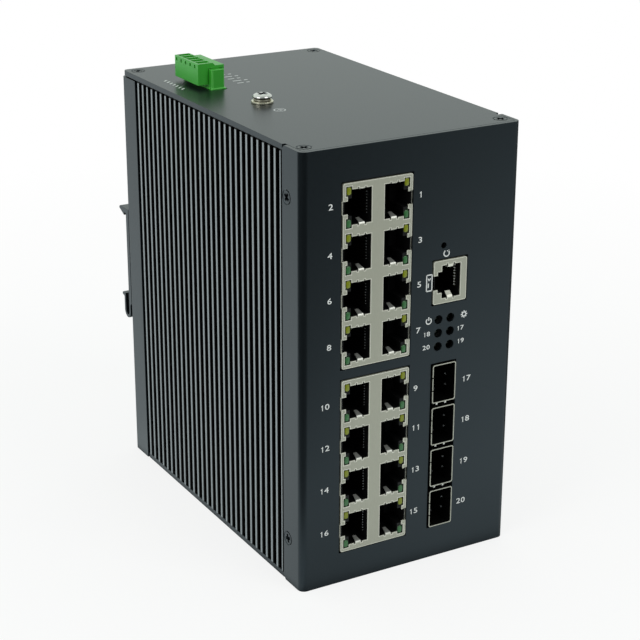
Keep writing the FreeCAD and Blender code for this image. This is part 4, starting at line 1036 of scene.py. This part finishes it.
def print_top_marks():
    """Earth sign and dashes beside the terminal, on the top plate."""
    x, y = EARTH_MARK
    earth = band(x, y, EARTH_RADIUS, 0, 360, EARTH_RING_STEPS, EARTH_RING)
    earth += bar((x - EARTH_STEM, y), (x, y), EARTH_STROKE)
    for out, half in EARTH_BARS:
        earth += bar((x + out, y - half), (x + out, y + half), EARTH_STROKE)
    print_shapes("earth_mark", earth, on_top=True)

    dashes = []
    left, right = SLANT_DASH
    for y in SLANT_PLACES:
        dashes += bar((left, y - SLANT_HALF), (right, y + SLANT_HALF), SLANT_STROKE)
    first, first_end, second, second_end = PAIR_DASHES
    for number, y in enumerate(PAIR_PLACES):
        longer = number % 2
        dashes += bar((first, y), (first_end + longer, y), PAIR_STROKE)
        dashes += bar((second + longer, y), (second_end + longer, y), PAIR_STROKE)
    print_shapes("terminal_dashes", dashes, on_top=True)


def floor_finish():
    """Pale floor: white to the camera but for the object's soft shadow, and graded where it is reflected."""
    material = bpy.data.materials.new("pale_studio_floor")
    material.use_nodes = True
    tree = material.node_tree
    tree.nodes.clear()
    path = add_node(tree, "ShaderNodeLightPath").outputs
    place = add_node(tree, "ShaderNodeTexCoord").outputs["Object"]
    apart = add_node(tree, "ShaderNodeSeparateXYZ", {0: place}).outputs

    # Brightness in reflections along x + y
    along = add_node(tree, "ShaderNodeVectorMath", {0: place, 1: (1, 1, 0)}, operation="DOT_PRODUCT")
    level = 0.0
    for start, end, rise in GLOW_STEPS:
        step = add_node(tree, "ShaderNodeMapRange", {
            "Value": along.outputs["Value"], "From Min": start, "From Max": end, "To Max": rise})
        level = add_node(tree, "ShaderNodeMath", {0: level, 1: step.outputs[0]}, operation="ADD").outputs[0]

    # Less to the right of the front panel
    slope, start, end, loss = RIGHT_SHADE
    along = add_node(tree, "ShaderNodeVectorMath", {0: place, 1: (1, slope, 0)}, operation="DOT_PRODUCT")
    dim = add_node(tree, "ShaderNodeMapRange", {
        "Value": along.outputs["Value"], "From Min": start, "From Max": end, "To Max": loss})
    side = add_node(tree, "ShaderNodeMapRange", {"Value": apart["X"], "From Max": -LEFT, "To Max": loss})
    dim = add_node(tree, "ShaderNodeMath", {0: dim.outputs[0], 1: side.outputs[0]}, operation="MINIMUM")
    level = add_node(tree, "ShaderNodeMath", {0: level, 1: dim.outputs[0]}, operation="SUBTRACT").outputs[0]

    # Less close to the front panel: painted shadow of the object in reflections
    share = NEAR_SHARE
    for start, end, rise in NEAR_PAINTED_SHADOW:
        step = add_node(tree, "ShaderNodeMapRange", {
            "Value": apart["Y"], "From Min": FRONT - start, "From Max": FRONT - end, "To Max": rise})
        share = add_node(tree, "ShaderNodeMath", {0: share, 1: step.outputs[0]}, operation="ADD").outputs[0]
    start, end = SHADE_END
    beside = add_node(tree, "ShaderNodeMapRange", {
        "Value": apart["X"], "From Min": LEFT + start, "From Max": LEFT + end})
    share = add_node(tree, "ShaderNodeMath", {0: share, 1: beside.outputs[0]}, operation="MAXIMUM")
    factors = {0: level, 1: share.outputs[0]}
    level = add_node(tree, "ShaderNodeMath", factors, operation="MULTIPLY").outputs[0]

    # Even white to the camera, partly matte near the object, where its shadow falls
    seen = path["Is Camera Ray"]
    level = add_node(tree, "ShaderNodeMix", {0: seen, 2: level, 3: 1.0}).outputs[0]
    away = add_node(tree, "ShaderNodeVectorMath", {0: place}, operation="LENGTH")
    start, end = SHADOW_REACH
    white = add_node(tree, "ShaderNodeMapRange", {
        "Value": away.outputs["Value"], "From Min": start, "From Max": end, "To Min": SHADOW_WHITE})
    lit = add_node(tree, "ShaderNodeMath", {0: seen, 1: white.outputs[0]}, operation="MULTIPLY")
    for ray in ("Is Glossy Ray", "Is Transmission Ray"):
        lit = add_node(tree, "ShaderNodeMath", {0: lit.outputs[0], 1: path[ray]}, operation="MAXIMUM")
    tints = {"Factor": seen, 6: linear("#f4feff"), 7: linear("#ffffff")}
    tint = add_node(tree, "ShaderNodeMix", tints, data_type="RGBA")
    glow = add_node(tree, "ShaderNodeEmission", {"Color": tint.outputs[2], "Strength": level})
    matte = add_node(tree, "ShaderNodeBsdfDiffuse", {"Color": linear("#f4f4f4")})
    mix = add_node(tree, "ShaderNodeMixShader", {0: lit.outputs[0], 1: matte.outputs[0], 2: glow.outputs[0]})
    add_node(tree, "ShaderNodeOutputMaterial", {"Surface": mix.outputs[0]})
    return material


def make_floor():
    """Plain floor under the object."""
    shape = bmesh.new()
    bmesh.ops.create_grid(shape, x_segments=1, y_segments=1, size=FLOOR_HALF)
    mesh = shape_to_mesh(shape, "floor")
    mesh.materials.append(floor_finish())
    floor = bpy.data.objects.new("floor", mesh)
    bpy.context.scene.collection.objects.link(floor)


def make_world():
    """Plain soft studio world: white to the camera, and dimmer in front of the object than behind it."""
    world = bpy.data.worlds.new("studio")
    world.use_nodes = True
    tree = world.node_tree
    tree.nodes.clear()
    seen = add_node(tree, "ShaderNodeLightPath").outputs["Is Camera Ray"]
    direction = add_node(tree, "ShaderNodeTexCoord").outputs["Generated"]
    apart = add_node(tree, "ShaderNodeSeparateXYZ", {0: direction}).outputs
    depth = add_node(tree, "ShaderNodeMapRange", {
        "Value": apart["Y"], "From Min": WORLD_TURN[0], "From Max": WORLD_TURN[1],
        "To Min": WORLD_LEVELS[0], "To Max": WORLD_LEVELS[1]})
    level = add_node(tree, "ShaderNodeMath", {0: depth.outputs[0], 1: seen}, operation="MAXIMUM")
    tints = {"Factor": seen, 6: linear("#f6fffa"), 7: linear("#ffffff")}
    tint = add_node(tree, "ShaderNodeMix", tints, data_type="RGBA")
    back = add_node(tree, "ShaderNodeBackground", {"Color": tint.outputs[2], "Strength": level.outputs[0]})
    add_node(tree, "ShaderNodeOutputWorld", {"Surface": back.outputs[0]})
    bpy.context.scene.world = world


def make_lights():
    """Soft square lights, aimed at the object."""
    for name, (place, size, power) in SOFTBOXES.items():
        data = bpy.data.lights.new(name, "AREA")
        data.size = size
        data.energy = power
        lamp = bpy.data.objects.new(name, data)
        aim = Vector(LIGHT_AIM) - Vector(place)
        lamp.matrix_world = Matrix.Translation(place) @ aim.to_track_quat("-Z", "Y").to_matrix().to_4x4()
        bpy.context.scene.collection.objects.link(lamp)


def make_camera():
    """Camera at the photograph's place, angle and lens."""
    azimuth = math.radians(CAMERA_AZIMUTH)
    elevation = math.radians(CAMERA_ELEVATION)
    level = math.cos(elevation)
    back = Vector((math.sin(azimuth) * level, -math.cos(azimuth) * level, math.sin(elevation)))
    right = Vector((0, 0, 1)).cross(back).normalized()
    turn = Matrix((right, back.cross(right), back)).transposed()
    turn = turn @ Matrix.Rotation(math.radians(CAMERA_ROLL), 3, "Z")
    data = bpy.data.cameras.new("camera")
    data.sensor_width = SENSOR_WIDTH
    data.lens = CAMERA_LENS
    camera = bpy.data.objects.new("camera", data)
    camera.matrix_world = Matrix.Translation(Vector(CAMERA_PLACE) * MM) @ turn.to_4x4()
    bpy.context.scene.collection.objects.link(camera)
    bpy.context.scene.camera = camera


dress_nodes()
for sheet_node in ("front_panel", "rear_panel", "top_plate", "bottom_plate", "rail_bracket"):
    soften_node(sheet_node, SHEET_EDGE)
for sink_node in ("left_heat_sink", "right_heat_sink"):
    soften_node(sink_node, FIN_EDGE, FIN_EDGE_STEPS, clamp=False)
# Green terminal, its softened edges in a painted highlight
for terminal_node in ("terminal_header", "terminal_plug"):
    soften_node(terminal_node, TERMINAL_EDGE, highlight_edge_finish="terminal_edge_highlight")
# Module cages, with painted shade inside
for cage in range(1, CAGE_COUNT + 1):
    soften_node("sfp_cage_" + str(cage), CAGE_EDGE, finish="cage_tin")
make_screws()
make_flat_washer()
make_spring_washer()
make_ground_screw()
make_shields()
make_contact_tips()
make_cage_details()
make_lamp_caps()
make_indicator_lenses()
print_numbers()
print_front_marks()
print_top_marks()
make_floor()
make_world()
make_lights()
make_camera()
bpy.context.scene.view_settings.view_transform = "Standard"
